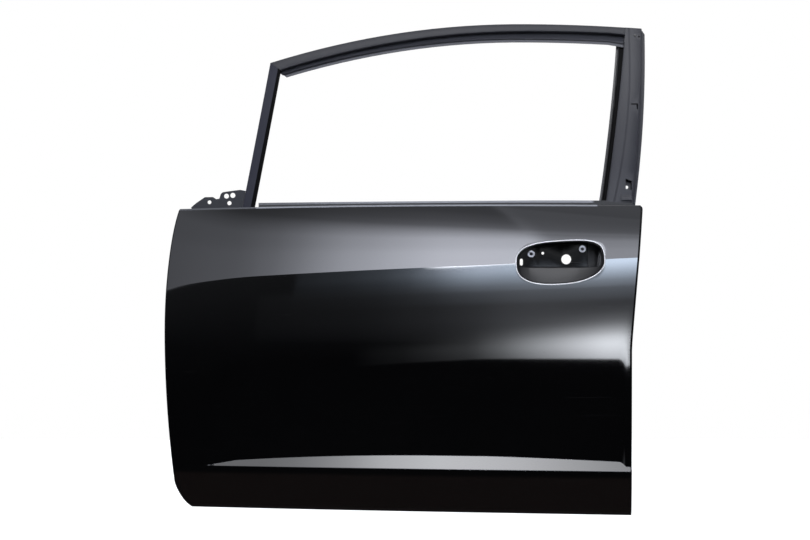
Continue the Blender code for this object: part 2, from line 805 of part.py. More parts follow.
def inner_station(place, level):
    front_x = FRONT_CORNER_R + WALL_SETBACK + skin_front_x(SILL_Z + BOTTOM_FLANGE + FRONT_CORNER_R)
    front_centre = Vector((front_x, SILL_Z + BOTTOM_FLANGE + FRONT_CORNER_R))
    rear_x = REAR_EDGE_X - REAR_FLANGE - REAR_CORNER_R
    rear_centre = Vector((rear_x, sill_z(REAR_EDGE_X) + BOTTOM_FLANGE + REAR_CORNER_R))
    if place.side < 0 and place.z > rear_centre.y:
        return rear_station(place, level)
    if place.side > 0 and place.z > front_centre.y:
        return front_station(place, level)
    if place.x < front_centre.x:
        return lower_station(place, front_centre, FRONT_CORNER_R, 0.0)
    if place.x > rear_centre.x:
        return lower_station(place, rear_centre, REAR_CORNER_R, REAR_EDGE_X - REAR_FLANGE - REAR_WALL_X)
    return lower_station(place, Vector((place.x, place.z)), 0.0, 0.0)


def inner_panel_openings():
    """Openings through the inner panel's face, its front and rear walls and its bottom wall."""
    key_x, key_z = HANDLE_KEY_HOLE
    slot_x, slot_z = HANDLE_SLOT
    outlines = [
        circle(SPEAKER[0], SPEAKER[1], SPEAKER_R, 32),
        rounded_box(*FRONT_ACCESS, 38.0, 4),
        rounded_box(*REAR_ACCESS, 42.0, 4),
        rounded_box(*LATCH_ACCESS, 16.0, 3),
        circle(key_x + 6.0, key_z + 0.4, 16.0, 16),
        circle(HANDLE_PIN_HOLE[0] + 5.0, HANDLE_PIN_HOLE[1] + 0.6, 7.0, 10),
        rounded_box(slot_x - 4.0, slot_z - 14.0, slot_x + 12.0, slot_z + 14.0, 7.0, 3),
    ]
    outlines += [circle(x, z, 4.5, 10) for x, z in REGULATOR_HOLES + TRIM_HOLES]
    shapes = [along_y(outline, -20.0, 70.0) for outline in outlines]
    front_wall = (-8.0, 12.0)
    for hinge_z in (0.0, -HINGE_SPACING):
        for side in (-0.5, 0.5):
            hole = circle(0.0, hinge_z + side * HINGE_BOLT_SPACING, HINGE_BOLT_R)
            shapes.append(along_x(hole, *front_wall))
    shapes.append(along_x(rounded_box(-8.0, CHECK_Z - 20.0, 8.0, CHECK_Z + 20.0, 4.0, 2), *front_wall))
    shapes.append(along_x(circle(4.0, HARNESS_Z, HARNESS_R, 20), *front_wall))
    rear_wall = (REAR_WALL_X - 8.0, REAR_WALL_X + 12.0)
    latch = rounded_box(LATCH_Y - 11.0, LATCH_Z - 20.0, LATCH_Y + 13.0, LATCH_Z + 20.0, 6.0, 2)
    shapes.append(along_x(latch, *rear_wall))
    shapes += [along_x(circle(y, z, 3.5, 10), *rear_wall) for y, z in LATCH_SCREWS]
    for x in DRAIN_X:
        slot = rounded_box(x - 12.0, -26.0, x + 12.0, -10.0, 6.0, 2)
        shapes.append(along_z(slot, sill_z(x) + 2.0, sill_z(x) + 50.0))
    return shapes


def press_recess(panel, name, outline_at, material):
    """Presses a shallow dish into the face; outline_at gives its outline at a distance inside its rim."""
    cut(panel, [along_y(outline_at(0.0), INNER_Y - 3.0, INNER_Y + 3.0)])
    rim, foot, low = outline_at(-0.4), outline_at(RECESS_SLOPE), INNER_Y - RECESS_DEPTH
    levels = ((foot, low), (rim, INNER_Y - 0.05), (rim, INNER_Y - INNER_T + 0.05), (foot, low - INNER_T))
    rings = [[(x, y, z) for x, z in outline] for outline, y in levels]
    join(panel, loft(name, rings, material))


def press_recesses(panel, material):
    x, z = SPEAKER
    press_recess(panel, "speaker_recess", lambda inset: circle(x, z, SPEAKER_RECESS_R - inset, 32), material)
    for i, (x0, z0, x1, z1, r) in enumerate(BOX_RECESSES):

        def outline_at(inset, x0=x0, z0=z0, x1=x1, z1=z1, r=r):
            return rounded_box(x0 + inset, z0 + inset, x1 - inset, z1 - inset, r - inset, 4)

        press_recess(panel, "panel_recess_" + str(i + 1), outline_at, material)


def make_inner_panel(material):
    places = outline_places()[INNER_TOP_ROW:-INNER_TOP_ROW]
    uprights = range(LAST_ROW - INNER_TOP_ROW), range(len(places) - LAST_ROW + INNER_TOP_ROW, len(places))
    front_bend, rear_bend = (min(side, key=lambda i: abs(places[i].z - INNER_BEND_Z)) for side in uprights)
    stations = []
    for i, place in enumerate(places):
        stations.append(inner_station(place, INNER_BEND_Z if i in (front_bend, rear_bend) else None))
    points = [p for station in stations for p in station]
    depth = len(stations[0])
    faces = []
    for start in range(0, len(points) - depth, depth):
        for j in range(start, start + depth - 1):
            faces.append((j, j + 1, j + depth + 1, j + depth))
    rim = [i * depth + depth - 1 for i in range(len(stations))]
    faces.append(tuple(rim[front_bend:rear_bend + 1]))
    faces.append(tuple(rim[:front_bend + 1] + rim[rear_bend:]))
    mesh = mesh_from("inner_panel", points, faces)
    face_towards(mesh, Vector((0, 1, 0)))
    panel = add_object("inner_panel", mesh, material)
    thicken(panel, INNER_T)
    press_recesses(panel, material)
    cut(panel, inner_panel_openings())


# Window frame


def frame_y(x, z):
    rise = z - FRAME_FOOT_Z
    return FRAME_FOOT_Y + plan_y(x) + FRAME_LEAN * rise + FRAME_CURVE * rise**2


def frame_point(x, z):
    return Vector((x, frame_y(x, z), z))


def frame_normal(x, z):
    """The frame surface's normal, into the car."""
    slope_x = -2 * PLAN_SAG * max(0.0, PLAN_FLAT_X - x) / PLAN_RUN**2
    slope_z = FRAME_LEAN + 2 * FRAME_CURVE * (z - FRAME_FOOT_Z)
    return Vector((-slope_x, 1.0, -slope_z)).normalized()


def header_z(x):
    curve = HEADER_FRONT_CURVE if x < HEADER_PEAK_X else HEADER_REAR_CURVE
    return HEADER_PEAK_Z - curve * (x - HEADER_PEAK_X) ** 2


def front_sash_x(z):
    rise = z - FRONT_SASH_Z
    return FRONT_SASH_X + FRONT_SASH_RAKE * rise + FRONT_SASH_BOW * max(0.0, rise) ** 2


def rear_line_x(line, z):
    rise = z - PILLAR_FOOT_Z
    return line[0] + line[1] * rise + line[2] * max(0.0, rise) ** 2


def frame_stations(places, towards):
    """Stations along places on the frame's surface; across lies in the surface, on the side of towards."""
    stations = []
    for i, (x, z) in enumerate(places):
        before = frame_point(*places[max(0, i - 1)])
        after = frame_point(*places[min(len(places) - 1, i + 1)])
        normal = frame_normal(x, z)
        across = (after - before).cross(normal).normalized()
        if across.dot(towards) < 0:
            across = -across
        stations.append([frame_point(x, z), across, normal])
    return stations


def front_corner():
    z = HEADER_PEAK_Z
    for _ in range(20):
        z = header_z(front_sash_x(z))
    return front_sash_x(z), z


def front_sash_stations():
    top = front_corner()
    places = []
    for i in range(11):
        z = mix(SASH_FOOT_Z, top[1], i / 10)
        places.append((front_sash_x(z), z))
    return frame_stations(places, Vector((1, 0, 0)))


def header_stations():
    x0 = front_corner()[0]
    x1 = rear_line_x(LIP_LINE, header_z(REAR_EDGE_X)) - FRAME_T / 2 - SASH_JOINT
    places = []
    for i in range(23):
        x = mix(x0, x1, i / 22)
        places.append((x, header_z(x)))
    stations = frame_stations(places, Vector((0, 0, -1)))
    end_x, end_z = places[-1]
    run = (stations[-1][0] - stations[-2][0]).normalized()
    stations[-1][2] = stations[-1][2] + run * HEADER_END_SLANT
    low = frame_point(rear_line_x(LIP_LINE, end_z - HEADER_LEG) - FRAME_T / 2 - SASH_JOINT, end_z - HEADER_LEG)
    stations[-1][1] = (low - frame_point(end_x, end_z)) / HEADER_LEG
    return stations


def mitre(sash, header):
    """Turns the sash's last station and the header's first into one plane, a joint's gap apart."""
    between = (sash[-1][1] + header[0][1]) / (1 + sash[-1][1].dot(header[0][1]))
    sash_run = (sash[-1][0] - sash[-2][0]).normalized()
    header_run = (header[1][0] - header[0][0]).normalized()
    normal = (sash[-1][2] + header[0][2]).normalized()
    corner = header[0][0]
    sash[-1] = [corner - sash_run * SASH_JOINT / 2, between, normal]
    header[0] = [corner + header_run * SASH_JOINT / 2, between, normal]


def make_front_frame(material):
    sash, header = front_sash_stations(), header_stations()
    mitre(sash, header)
    width = FRONT_SASH_WIDTH
    path = [(width, LIP_RETURN), (width, 0.0), (0.0, 0.0), (0.0, SASH_DEPTH), (FRONT_SASH_LEG, SASH_DEPTH)]
    sheet("front_sash", sash, [path] * len(sash), FRAME_T, material)
    paths = []
    for i in range(len(header)):
        face = mix(HEADER_FACE_FRONT, HEADER_FACE_REAR, i / (len(header) - 1))
        leg = HEADER_LEG - 11.0
        path = [(face, LIP_RETURN), (face, 0.0), (0.0, 0.0), (0.0, SASH_DEPTH), (leg, SASH_DEPTH)]
        paths.append(path + [(leg + 2.5, SASH_DEPTH - SASH_LEG_STEP), (HEADER_LEG, SASH_DEPTH - SASH_LEG_STEP)])
    sheet("header_sash", header, paths, FRAME_T, material)


def pillar_station(z):
    return Vector((0, frame_y(REAR_EDGE_X, z), z)), Vector((1, 0, 0)), frame_normal(REAR_EDGE_X, z)


def pillar_sheet(name, levels, path_at, thickness, material):
    """A sheet up the rear upright; path_at gives X and depth at a height."""
    return sheet(name, [pillar_station(z) for z in levels], [path_at(z) for z in levels], thickness, material)


def levels_between(low, high, count):
    return [mix(low, high, i / (count - 1)) for i in range(count)]


def pillar_plate_path(z):
    lip, step = rear_line_x(LIP_LINE, z), rear_line_x(STEP_LINE, z)
    edge, rear = rear_line_x(EDGE_LINE, z), rear_line_x(REAR_LINE, z)
    flat = min(1.0, max(0.0, (z - LIP_TOP_Z) / 6.0))
    end = lip - (FRAME_T - GAP) / 2 * flat
    path = [(end, mix(LIP_RETURN, 0.0, flat)), (lip + 1.5 * flat, 0.0), (step - 2.5, 0.0)]
    path += [(step + 2.5, -PILLAR_STEP), (edge, -PILLAR_STEP)]
    return path + [(edge + 1.5, PILLAR_FLANGE_DEPTH), (rear, PILLAR_FLANGE_DEPTH)]


def pillar_top_ring(ring, low):
    """Lifts the plate's last section to the header's curve, and lower towards the rear to cut the corner off."""
    edge, rear = rear_line_x(EDGE_LINE, low), rear_line_x(REAR_LINE, low)
    made = []
    for point in ring:
        depth = point.y - frame_y(point.x, low)
        share = min(1.0, max(0.0, (point.x - edge) / (rear - edge)))
        z = header_z(point.x) - PILLAR_CORNER_DROP * share
        x = point.x + rear_line_x(LIP_LINE, z) - rear_line_x(LIP_LINE, low)
        made.append(Vector((x, frame_y(x, z) + depth, z)))
    return made


def make_pillar_plate(material):
    levels = levels_between(SASH_FOOT_Z, LIP_TOP_Z, 13) + [LIP_TOP_Z + 6.0, PILLAR_TOP_Z]
    rings = []
    for z in levels:
        origin, across, normal = pillar_station(z)
        outline = sheet_outline(bend(pillar_plate_path(z), BEND_R), FRAME_T)
        rings.append([origin + across * x + normal * n for x, n in outline])
    plate = loft("b_pillar_plate", rings + [pillar_top_ring(rings[-1], PILLAR_TOP_Z)], material)
    join(plate, pillar_cap(material))
    shapes = [circle(x, z, PILLAR_HOLE_R, 10) for x, z in PILLAR_HOLES]
    shapes += [PILLAR_LANCE, PILLAR_WINDOW]
    cut(plate, [along_y(shape, frame_y(*shape[0]) - 12.0, frame_y(*shape[0]) + 8.0) for shape in shapes])


def pillar_cap(material):
    """The plate's top flange, which turns into the car along the header's curve."""
    top = header_z(REAR_EDGE_X)
    lip, step, edge = (rear_line_x(line, top) for line in (LIP_LINE, STEP_LINE, EDGE_LINE))
    rings = []
    for x, depth in ((lip + 2.5, 0.0), (step - 2.5, 0.0), (step + 2.5, -PILLAR_STEP), (edge - 1.0, -PILLAR_STEP)):
        z = header_z(x) - 0.1
        near, far = frame_y(x, z) + depth, frame_y(x, z) + SASH_DEPTH - 2.0
        rings.append([(x, near, z), (x, far, z), (x, far, z - FRAME_T), (x, near, z - FRAME_T)])
    return loft("b_pillar_cap", rings, material)


def rear_channel_path(z):
    lip = rear_line_x(LIP_LINE, z)
    leg = mix(CHANNEL_LEG, CHANNEL_LEG_TOP, max(0.0, (z - FRAME_FOOT_Z) / (CHANNEL_TOP_Z - FRAME_FOOT_Z)) ** 2)
    seat, low = FRAME_T + GAP, SASH_DEPTH + CHANNEL_LIP_STEP
    path = [(lip + 6.0, seat), (lip + CHANNEL_WEB, seat), (lip + CHANNEL_WEB, SASH_DEPTH)]
    path.append((lip - leg + CHANNEL_LIP + 2.0, SASH_DEPTH))
    return path + [(lip - leg + CHANNEL_LIP, low), (lip - leg, low)]


def pillar_inner_path(z):
    above = min(1.0, max(0.0, (z - CHANNEL_TOP_Z - 0.5) / INNER_SPREAD))
    web = rear_line_x(LIP_LINE, z) + CHANNEL_WEB + FRAME_T + 0.4 - INNER_SPREAD * above
    edge, rear = rear_line_x(EDGE_LINE, z), rear_line_x(REAR_LINE, z)
    seat = PILLAR_FLANGE_DEPTH + FRAME_T + GAP
    return [(web, 9.0), (web, SASH_DEPTH), (edge - 4.0, SASH_DEPTH), (edge + 1.0, seat), (rear - 0.5, seat)]


def make_rear_frame(material):
    make_pillar_plate(material)
    levels = levels_between(SASH_FOOT_Z, CHANNEL_TOP_Z, 10)
    pillar_sheet("rear_sash", levels, rear_channel_path, FRAME_T, material)
    levels = levels_between(SASH_FOOT_Z, CHANNEL_TOP_Z + 0.5, 9)
    levels += [CHANNEL_TOP_Z + 0.5 + INNER_SPREAD, PILLAR_TOP_Z + 8.0]
    inner = pillar_sheet("b_pillar_inner", levels, pillar_inner_path, FRAME_T, material)
    x, z, radius = PILLAR_SIGHT_HOLE
    cut(inner, [along_y(circle(x, z, radius), frame_y(x, z) + 8.0, frame_y(x, z) + 30.0)])


def make_run_channels(material):
    places = []
    for z in levels_between(SASH_FOOT_Z - 0.6, RUN_CHANNEL_LOW_Z, 7):
        places.append((front_sash_x(z), z))
    stations = frame_stations(places, Vector((1, 0, 0)))
    path = [(22.0, 1.5), (1.5, 1.5), (1.5, SASH_DEPTH - 1.5), (22.0, SASH_DEPTH - 1.5)]
    sheet("front_run_channel", stations, [path] * len(stations), FRAME_T, material)
    levels = levels_between(RUN_CHANNEL_LOW_Z, SASH_FOOT_Z - 0.6, 7)
    pillar_sheet("rear_run_channel", levels, run_channel_path, FRAME_T, material)
    for name, x in (("front_channel_strap", front_sash_x(-265.0) + 14.0), ("rear_channel_strap", 951.0)):
        leg = [frame_y(x, z) + SASH_DEPTH + FRAME_T / 2 + GAP + 0.8 for z in (-236.0, -262.0)]
        seat = INNER_Y - INNER_T - GAP - 0.6
        path = [(leg[0], -236.0), (leg[1], -262.0), (seat, -278.0), (seat, -298.0)]
        strap(name, (x - 7.0, x + 7.0), [path, path], 1.2, material)


def run_channel_path(z):
    lip = rear_line_x(LIP_LINE, z)
    seat, leg = FRAME_T + GAP, SASH_DEPTH - 1.0
    return [(lip + 4.0, seat), (lip + CHANNEL_WEB - 2, seat), (lip + CHANNEL_WEB - 2, leg), (lip + 2.0, leg)]


# Belt reinforcements, mirror bracket and foot bracket


def strip_top_z(x):
    for (x0, z0), (x1, z1) in zip(BELT_STRIP_TOP, BELT_STRIP_TOP[1:]):
        if x <= x1:
            return mix(z0, z1, (x - x0) / (x1 - x0))
    return BELT_STRIP_TOP[-1][1]


def make_outer_belt(material):
    places = levels_between(BELT_STRIP_TOP[0][0], BELT_STRIP_TOP[-3][0], 11) + [x for x, _ in BELT_STRIP_TOP[-2:]]
    paths = []
    for x in places:
        top = strip_top_z(x)
        path = [(frame_y(x, z) - BELT_STRIP_STANDOFF, z) for z in (top, BELT_STRIP_LOW_Z)]
        path += [(skin_back_y(x, z) + BELT_T / 2, z) for z in (BELT_FOOT_HIGH_Z, BELT_FOOT_LOW_Z)]
        paths.append(path)
    strap("outer_belt_reinforcement", places, paths, BELT_T, material)


def make_inner_belt(material):
    seat, deep = INNER_T + GAP + 0.6, INNER_T + GAP + 0.6 + INNER_RAIL_DEPTH
    path = [(inner_y(z) - away, z) for z, away in ((122, seat), (114, seat), (111, deep), (80, deep), (76, seat), (66, seat))]
    strap("inner_belt_reinforcement", (INNER_RAIL_X0, INNER_RAIL_X1), [path, path], 1.2, material)


def make_mirror_bracket(material):
    right = [(front_sash_x(z) - FRAME_T / 2 - 0.5, z) for z in (MIRROR_TOP_Z, MIRROR_EDGE[0][1])]
    outline = list(MIRROR_EDGE) + right
    low, high = along_y(outline, MIRROR_PLATE_Y - BRACKET_T, MIRROR_PLATE_Y)
    plate = loft("mirror_bracket", [low, high], material)
    (x1, z1), (x0, z0) = right
    tab = [(x0, z0), (x1, z1), (x1 - BRACKET_T, z1), (x0 - BRACKET_T, z0)]
    low, high = along_y(tab, MIRROR_PLATE_Y - 0.7, MIRROR_PLATE_Y + MIRROR_FLANGE)
    join(plate, loft("mirror_bracket_tab", [low, high], material))
    holes = [along_y(circle(x, z, r), MIRROR_PLATE_Y - 10.0, MIRROR_PLATE_Y + 10.0) for x, z, r in MIRROR_HOLES]
    cut(plate, holes)


# Hinge, check and latch reinforcements


def make_hinge_reinforcement(name, z, lip_y, material):
    """A thick plate behind a hinge face, with a stiffening lip, and its two weld nuts."""
    face = INNER_T + GAP + HINGE_PLATE_T / 2
    half = HINGE_PLATE_HEIGHT / 2
    path = [(14.0, lip_y), (face, lip_y), (face, 28.0)]
    stations = [(Vector((0, 0, z + side * half)), Vector((1, 0, 0)), Vector((0, 1, 0))) for side in (-1, 1)]
    plate = sheet(name, stations, [path, path], HINGE_PLATE_T, material, 3.0)
    bolts = [z + side * HINGE_BOLT_SPACING for side in (-0.5, 0.5)]
    cut(plate, [along_x(circle(0.0, bolt_z, HINGE_BOLT_R), -4.0, 12.0) for bolt_z in bolts])
    back = INNER_T + HINGE_PLATE_T + 2 * GAP
    for i, bolt_z in enumerate(bolts):
        outer = along_x(hexagon(0.0, bolt_z, 13.0), back, back + 6.5)
        bore = along_x(circle(0.0, bolt_z, 3.4), back, back + 6.5)
        nut = name.replace("reinforcement", "nut") + "_" + str(i + 1)
        collar(nut, [outer[0], outer[1], bore[1], bore[0]], material)


def make_check_reinforcement(material):
    face = INNER_T + GAP + BRACKET_T / 2
    path = [(13.0, -22.0), (face, -22.0), (face, 26.0)]
    stations = [(Vector((0, 0, CHECK_Z + dz)), Vector((1, 0, 0)), Vector((0, 1, 0))) for dz in (-33.0, 33.0)]
    plate = sheet("check_reinforcement", stations, [path, path], BRACKET_T, material)
    cut(plate, [along_x(rounded_box(-7.0, CHECK_Z - 18.0, 7.0, CHECK_Z + 18.0, 4.0, 2), -4.0, 10.0)])


def make_latch_reinforcement(material):
    face = REAR_WALL_X - INNER_T - GAP - BRACKET_T / 2
    path = [(face, -6.0), (face, 31.0), (face - 10.0, 36.0)]
    stations = [(Vector((0, 0, z)), Vector((1, 0, 0)), Vector((0, 1, 0))) for z in (-44.0, 56.0)]
    plate = sheet("latch_reinforcement", stations, [path, path], BRACKET_T, material)
    opening = rounded_box(LATCH_Y - 10.0, LATCH_Z - 19.0, LATCH_Y + 12.0, LATCH_Z + 19.0, 6.0, 2)
    shapes = [along_x(opening, face - 6.0, face + 6.0)]
    shapes += [along_x(circle(y, z, 3.0, 10), face - 6.0, face + 6.0) for y, z in LATCH_SCREWS]
    cut(plate, shapes)


# Impact beam


def beam_axis(x):
    share = (x - BEAM_FRONT[0]) / (BEAM_REAR[0] - BEAM_FRONT[0])
    return Vector(BEAM_FRONT).lerp(Vector(BEAM_REAR), share)


def make_beam(material):
    rings = []
    for x, radius in ((BEAM_FRONT[0], BEAM_R), (BEAM_REAR[0], BEAM_R), (BEAM_REAR[0], 0), (BEAM_FRONT[0], 0)):
        axis = beam_axis(x)
        radius = radius or BEAM_R - BEAM_WALL
        rings.append([(x, y, z) for y, z in circle(axis.y, axis.z, radius, 20)])
    collar("impact_beam", rings, material)


def saddle_path(x):
    """A hat section whose trough holds the beam's inboard half."""
    axis = beam_axis(x)
    radius = BEAM_R + GAP + 0.75 + 0.1
    spots = [(axis.y - 1.0, axis.z + 36.0), (axis.y - 1.0, axis.z + radius + 1.0)]
    for i in range(1, 8):
        angle = math.pi / 2 - math.pi * i / 8
        spots.append((axis.y + radius * math.cos(angle), axis.z + radius * math.sin(angle)))
    return spots + [(axis.y - 1.0, axis.z - radius - 1.0), (axis.y - 1.0, axis.z - 36.0)]


def make_beam_brackets(material):
    near = INNER_T + GAP
    far = REAR_WALL_X - INNER_T - GAP
    front_x, rear_x = BEAM_FRONT[0] + SADDLE_LENGTH, BEAM_REAR[0] - SADDLE_LENGTH
    for name, wall, reach in (("beam_front_bracket", near, front_x), ("beam_rear_bracket", far, rear_x)):
        way = 1 if reach > wall else -1
        start = wall + way * 0.8
        places = (start, (start + reach) / 2, reach)
        saddle = strap(name, places, [saddle_path(x) for x in places], BRACKET_T, material, 1.0)
        axis = beam_axis(wall)
        tab = rounded_box(axis.y + 2.0, axis.z - 34.0, axis.y + 44.0, axis.z + 34.0, 6.0, 2)
        low, high = along_x(tab, wall, wall + way * BRACKET_T)
        join(saddle, loft(name + "_tab", [low, high], material))


def make_pads(material):
    """Blocks of mastic that steady the skin against the beam."""
    for i, x in enumerate((240.0, 520.0, 800.0)):
        rings = []
        for share in (-1.0, -0.5, 0.0, 0.5, 1.0):
            ring = []
            for px in (x - 26.0, x + 26.0):
                axis = beam_axis(px)
                z = axis.z + share * 11.0
                ring.append((px, skin_back_y(px, z) + 0.3, z))
            for px in (x + 26.0, x - 26.0):
                axis = beam_axis(px)
                dz = share * 11.0
                ring.append((px, axis.y - math.sqrt(BEAM_R**2 - dz**2) - 2 * GAP, axis.z + dz))
            rings.append(ring)
        loft("skin_pad_" + str(i + 1), rings, material)


# Handle reinforcement and small brackets


def make_handle_reinforcement(material):
    places = levels_between(HANDLE_PLATE_X0, HANDLE_PLATE_X1, 4)
    half = BRACKET_T / 2
    paths = []
    for x in places:
        path = [(skin_back_y(x, z) + half, z) for z in (80.0, 68.0)]
        path += [(HANDLE_PLATE_Y, 56.0), (HANDLE_PLATE_Y, -20.0)]
        paths.append(path + [(skin_back_y(x, z) + half, z) for z in (-62.0, -76.0)])
    plate = strap("handle_reinforcement", places, paths, BRACKET_T, material, 3.0)
    holes = [circle(x, z, HANDLE_BOLT_R) for x, z in HANDLE_BOLTS]
    holes += [circle(*HANDLE_KEY_HOLE, HANDLE_KEY_R, 20), circle(*HANDLE_PIN_HOLE, HANDLE_PIN_R, 10)]
    slot_x, slot_z = HANDLE_SLOT
    holes.append(rounded_box(slot_x - 3.5, slot_z - 8.0, slot_x + 3.5, slot_z + 8.0, 3.4, 3))
    cut(plate, [along_y(hole, HANDLE_PLATE_Y - 8.0, HANDLE_PLATE_Y + 8.0) for hole in holes])
    base = HANDLE_PLATE_Y - half - GAP
    for name, (x, z) in zip(("handle_collar_front", "handle_collar_rear"), HANDLE_BOLTS):
        outer = along_y(circle(x, z, HANDLE_COLLAR_R, 16), base, base - HANDLE_COLLAR_HEIGHT)
        bore = along_y(circle(x, z, HANDLE_BOLT_R, 16), base, base - HANDLE_COLLAR_HEIGHT)
        collar(name, [outer[0], outer[1], bore[1], bore[0]], material)


def make_pull_bracket(material):
    seat = INNER_Y + GAP + 0.6
    path = [(566.0, seat), (580.0, seat), (585.0, seat + 13.0), (615.0, seat + 13.0), (620.0, seat), (634.0, seat)]
    stations = [(Vector((0, 0, z)), Vector((1, 0, 0)), Vector((0, 1, 0))) for z in (-170.0, -128.0)]
    plate = sheet("pull_bracket", stations, [path, path], 1.2, material)
    cut(plate, [along_y(circle(600.0, -149.0, 4.0), seat + 4.0, seat + 24.0)])


def make_foot_bracket(material):
    seat = PILLAR_STEP + FRAME_T / 2 + GAP + 0.6
    paths = []
    for x in FOOT_BRACKET_X:
        away = ((169.0, seat), (160.0, seat), (156.0, seat + 4.0), (150.8, seat + 4.0))
        paths.append([(frame_y(x, z) - reach, z) for z, reach in away])
    strap("b_pillar_foot_bracket", FOOT_BRACKET_X, paths, 1.2, material)


def main():
    clear_scene()
    collection(PARTS)
    collection(CUTTERS)
    black = paint("satin_black_primer", (0.012, 0.012, 0.013), 0.32)
    mastic = paint("grey_mastic", (0.12, 0.12, 0.12), 0.8)
    make_outer_panel(black)
    make_inner_panel(black)
    make_front_frame(black)
    make_rear_frame(black)
    make_run_channels(black)
    make_outer_belt(black)
    make_inner_belt(black)
    make_mirror_bracket(black)
    make_hinge_reinforcement("upper_hinge_reinforcement", 0.0, UPPER_HINGE_LIP_Y, black)
    make_hinge_reinforcement("lower_hinge_reinforcement", -HINGE_SPACING, LOWER_HINGE_LIP_Y, black)
    make_check_reinforcement(black)
    make_latch_reinforcement(black)
    make_beam(black)
    make_beam_brackets(black)
    make_pads(mastic)
    make_handle_reinforcement(black)
    make_pull_bracket(black)
    make_foot_bracket(black)


main()
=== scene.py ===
"""The look of a bare front left door shell in satin black primer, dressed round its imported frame.

Sizes are in millimetres unless a name says otherwise; MM turns them into the frame's metres. +X runs to the
door's rear edge, +Y into the car and +Z up.
"""

import math

import bpy
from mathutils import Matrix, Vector


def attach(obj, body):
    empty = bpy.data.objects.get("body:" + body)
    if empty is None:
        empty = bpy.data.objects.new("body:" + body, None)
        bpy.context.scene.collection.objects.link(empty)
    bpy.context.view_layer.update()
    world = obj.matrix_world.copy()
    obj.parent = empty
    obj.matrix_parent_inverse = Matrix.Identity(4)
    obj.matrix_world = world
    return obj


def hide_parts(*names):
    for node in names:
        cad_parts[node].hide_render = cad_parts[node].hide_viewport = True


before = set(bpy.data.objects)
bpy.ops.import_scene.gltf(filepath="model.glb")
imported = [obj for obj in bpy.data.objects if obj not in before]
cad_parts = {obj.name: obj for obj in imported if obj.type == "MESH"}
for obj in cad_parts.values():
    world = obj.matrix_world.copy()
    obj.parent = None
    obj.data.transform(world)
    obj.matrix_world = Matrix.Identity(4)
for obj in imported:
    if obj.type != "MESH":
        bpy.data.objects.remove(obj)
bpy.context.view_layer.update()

# The camera stands level with the middle of the door and five metres in front of it, as the photograph was
# taken. It looks straight into the car, so that the sill and the belt keep their heights in the picture.
MM = 0.001
VIEW_CENTRE = Vector((533.4, -68.0, -11.7)) * MM
VIEW_DISTANCE_M = 5.0
VIEW_WIDTH_M = 1.86786

camera_data = bpy.data.cameras.new("camera")
camera_data.sensor_width = 36.0
camera_data.lens = camera_data.sensor_width * VIEW_DISTANCE_M / VIEW_WIDTH_M
camera = bpy.data.objects.new("camera", camera_data)
camera.location = VIEW_CENTRE - Vector((0.0, VIEW_DISTANCE_M, 0.0))
camera.rotation_euler = (math.pi / 2, 0.0, 0.0)
bpy.context.scene.collection.objects.link(camera)
bpy.context.scene.camera = camera

# The outer skin. One sheet of 0.75 mm steel, pressed with a shoulder crease, a ledge above the sill and a
# handle pocket, then folded over the inner panel's flange round the front, the bottom and the rear.
SKIN_GAUGE = 0.75
FRONT_EDGE_X, FRONT_EDGE_Z = -24.0, -150.0
FRONT_TOP_SWEEP, FRONT_TOP_HOOK, FRONT_HOOK_POWER, FRONT_LOW_SWEEP = 26.0, 6.0, 8, 31.0
REAR_EDGE_X, REAR_FLARE_Z, REAR_FLARE, REAR_FLARE_POWER = 1056.6, -190.0, 28.5, 1.05
BELT_Z, BELT_PEAK_Z, BELT_PEAK_X, BELT_CROWN = 133.0, 140.2, 760.0, 1.7e-5
SILL_Z, SILL_FALL = -560.0, 0.0171
CORNER_LENGTH, CORNER_HEIGHT, CORNER_POWER = 33.4, 60.0, 1.5
TOP_CORNER_R = 10.0
BELT_Y, CREASE_Y, WIDEST_Y, SILL_TOP_Y, SILL_FOOT_Y = -38.0, -68.0, -74.5, -71.7, -62.7
WIDEST_Z = -190.0
SILL_CURVE_POWER = 1.5
CREASE_SLOPE = 0.13
PLAN_SAG, PLAN_FLAT_X, PLAN_RUN = 30.0, 700.0, 720.0
CREASE_MID_Z, CREASE_MID_X, CREASE_RISE, CREASE_DROOP = -26.0, 198.0, 0.0495, 3.5e-4
CREASE_SWELL, CREASE_SWELL_X0, CREASE_SWELL_X1 = 2.1, 90.0, 720.0
LEDGE_Z, LEDGE_FALL, LEDGE_HEIGHT, LEDGE_DEPTH = -463.0, 0.0125, 29.6, 17.5
LEDGE_LEAST_HEIGHT, LEDGE_RISE_POWER, LEDGE_FADE_POWER = 1.5, 0.8, 1.3
LEDGE_TIP_X, LEDGE_TIP_RUN = 84.0, 60.0
LEDGE_START_X, LEDGE_FULL_X, LEDGE_FADE_X, LEDGE_FADE = 9.0, 604.0, 720.0, 10.0
LEDGE_END_X, LEDGE_END_RUN, LEDGE_END_FADE = 1028.0, 15.0, 0.34
HEM_RETURN, HEM_DEPTH = 9.0, 2.85
HEM_EDGE_R, HEM_STEPS = 1.4, 6
HEM_CORNER_RETURN, HEM_CORNER_GAIN = 4.5, 0.35
BELT_FOLD, BELT_FOLD_R, BELT_FOLD_END, FOLD_STEPS = 7.7, 2.0, 2.6, 4


def mix(a, b, share):
    return a + (b - a) * share


def plan_y(x):
    """How far the door curves into the car towards its front edge."""
    return PLAN_SAG * (max(0.0, PLAN_FLAT_X - x) / PLAN_RUN) ** 2


def belt_z(x):
    return BELT_PEAK_Z - BELT_CROWN * (x - BELT_PEAK_X) ** 2


def sill_z(x):
    return SILL_Z - SILL_FALL * x


def lower_corner_inset(height):
    share = min(1.0, max(0.0, (CORNER_HEIGHT - height) / CORNER_HEIGHT))
    return CORNER_LENGTH * (1 - (1 - share**CORNER_POWER) ** (1 / CORNER_POWER))


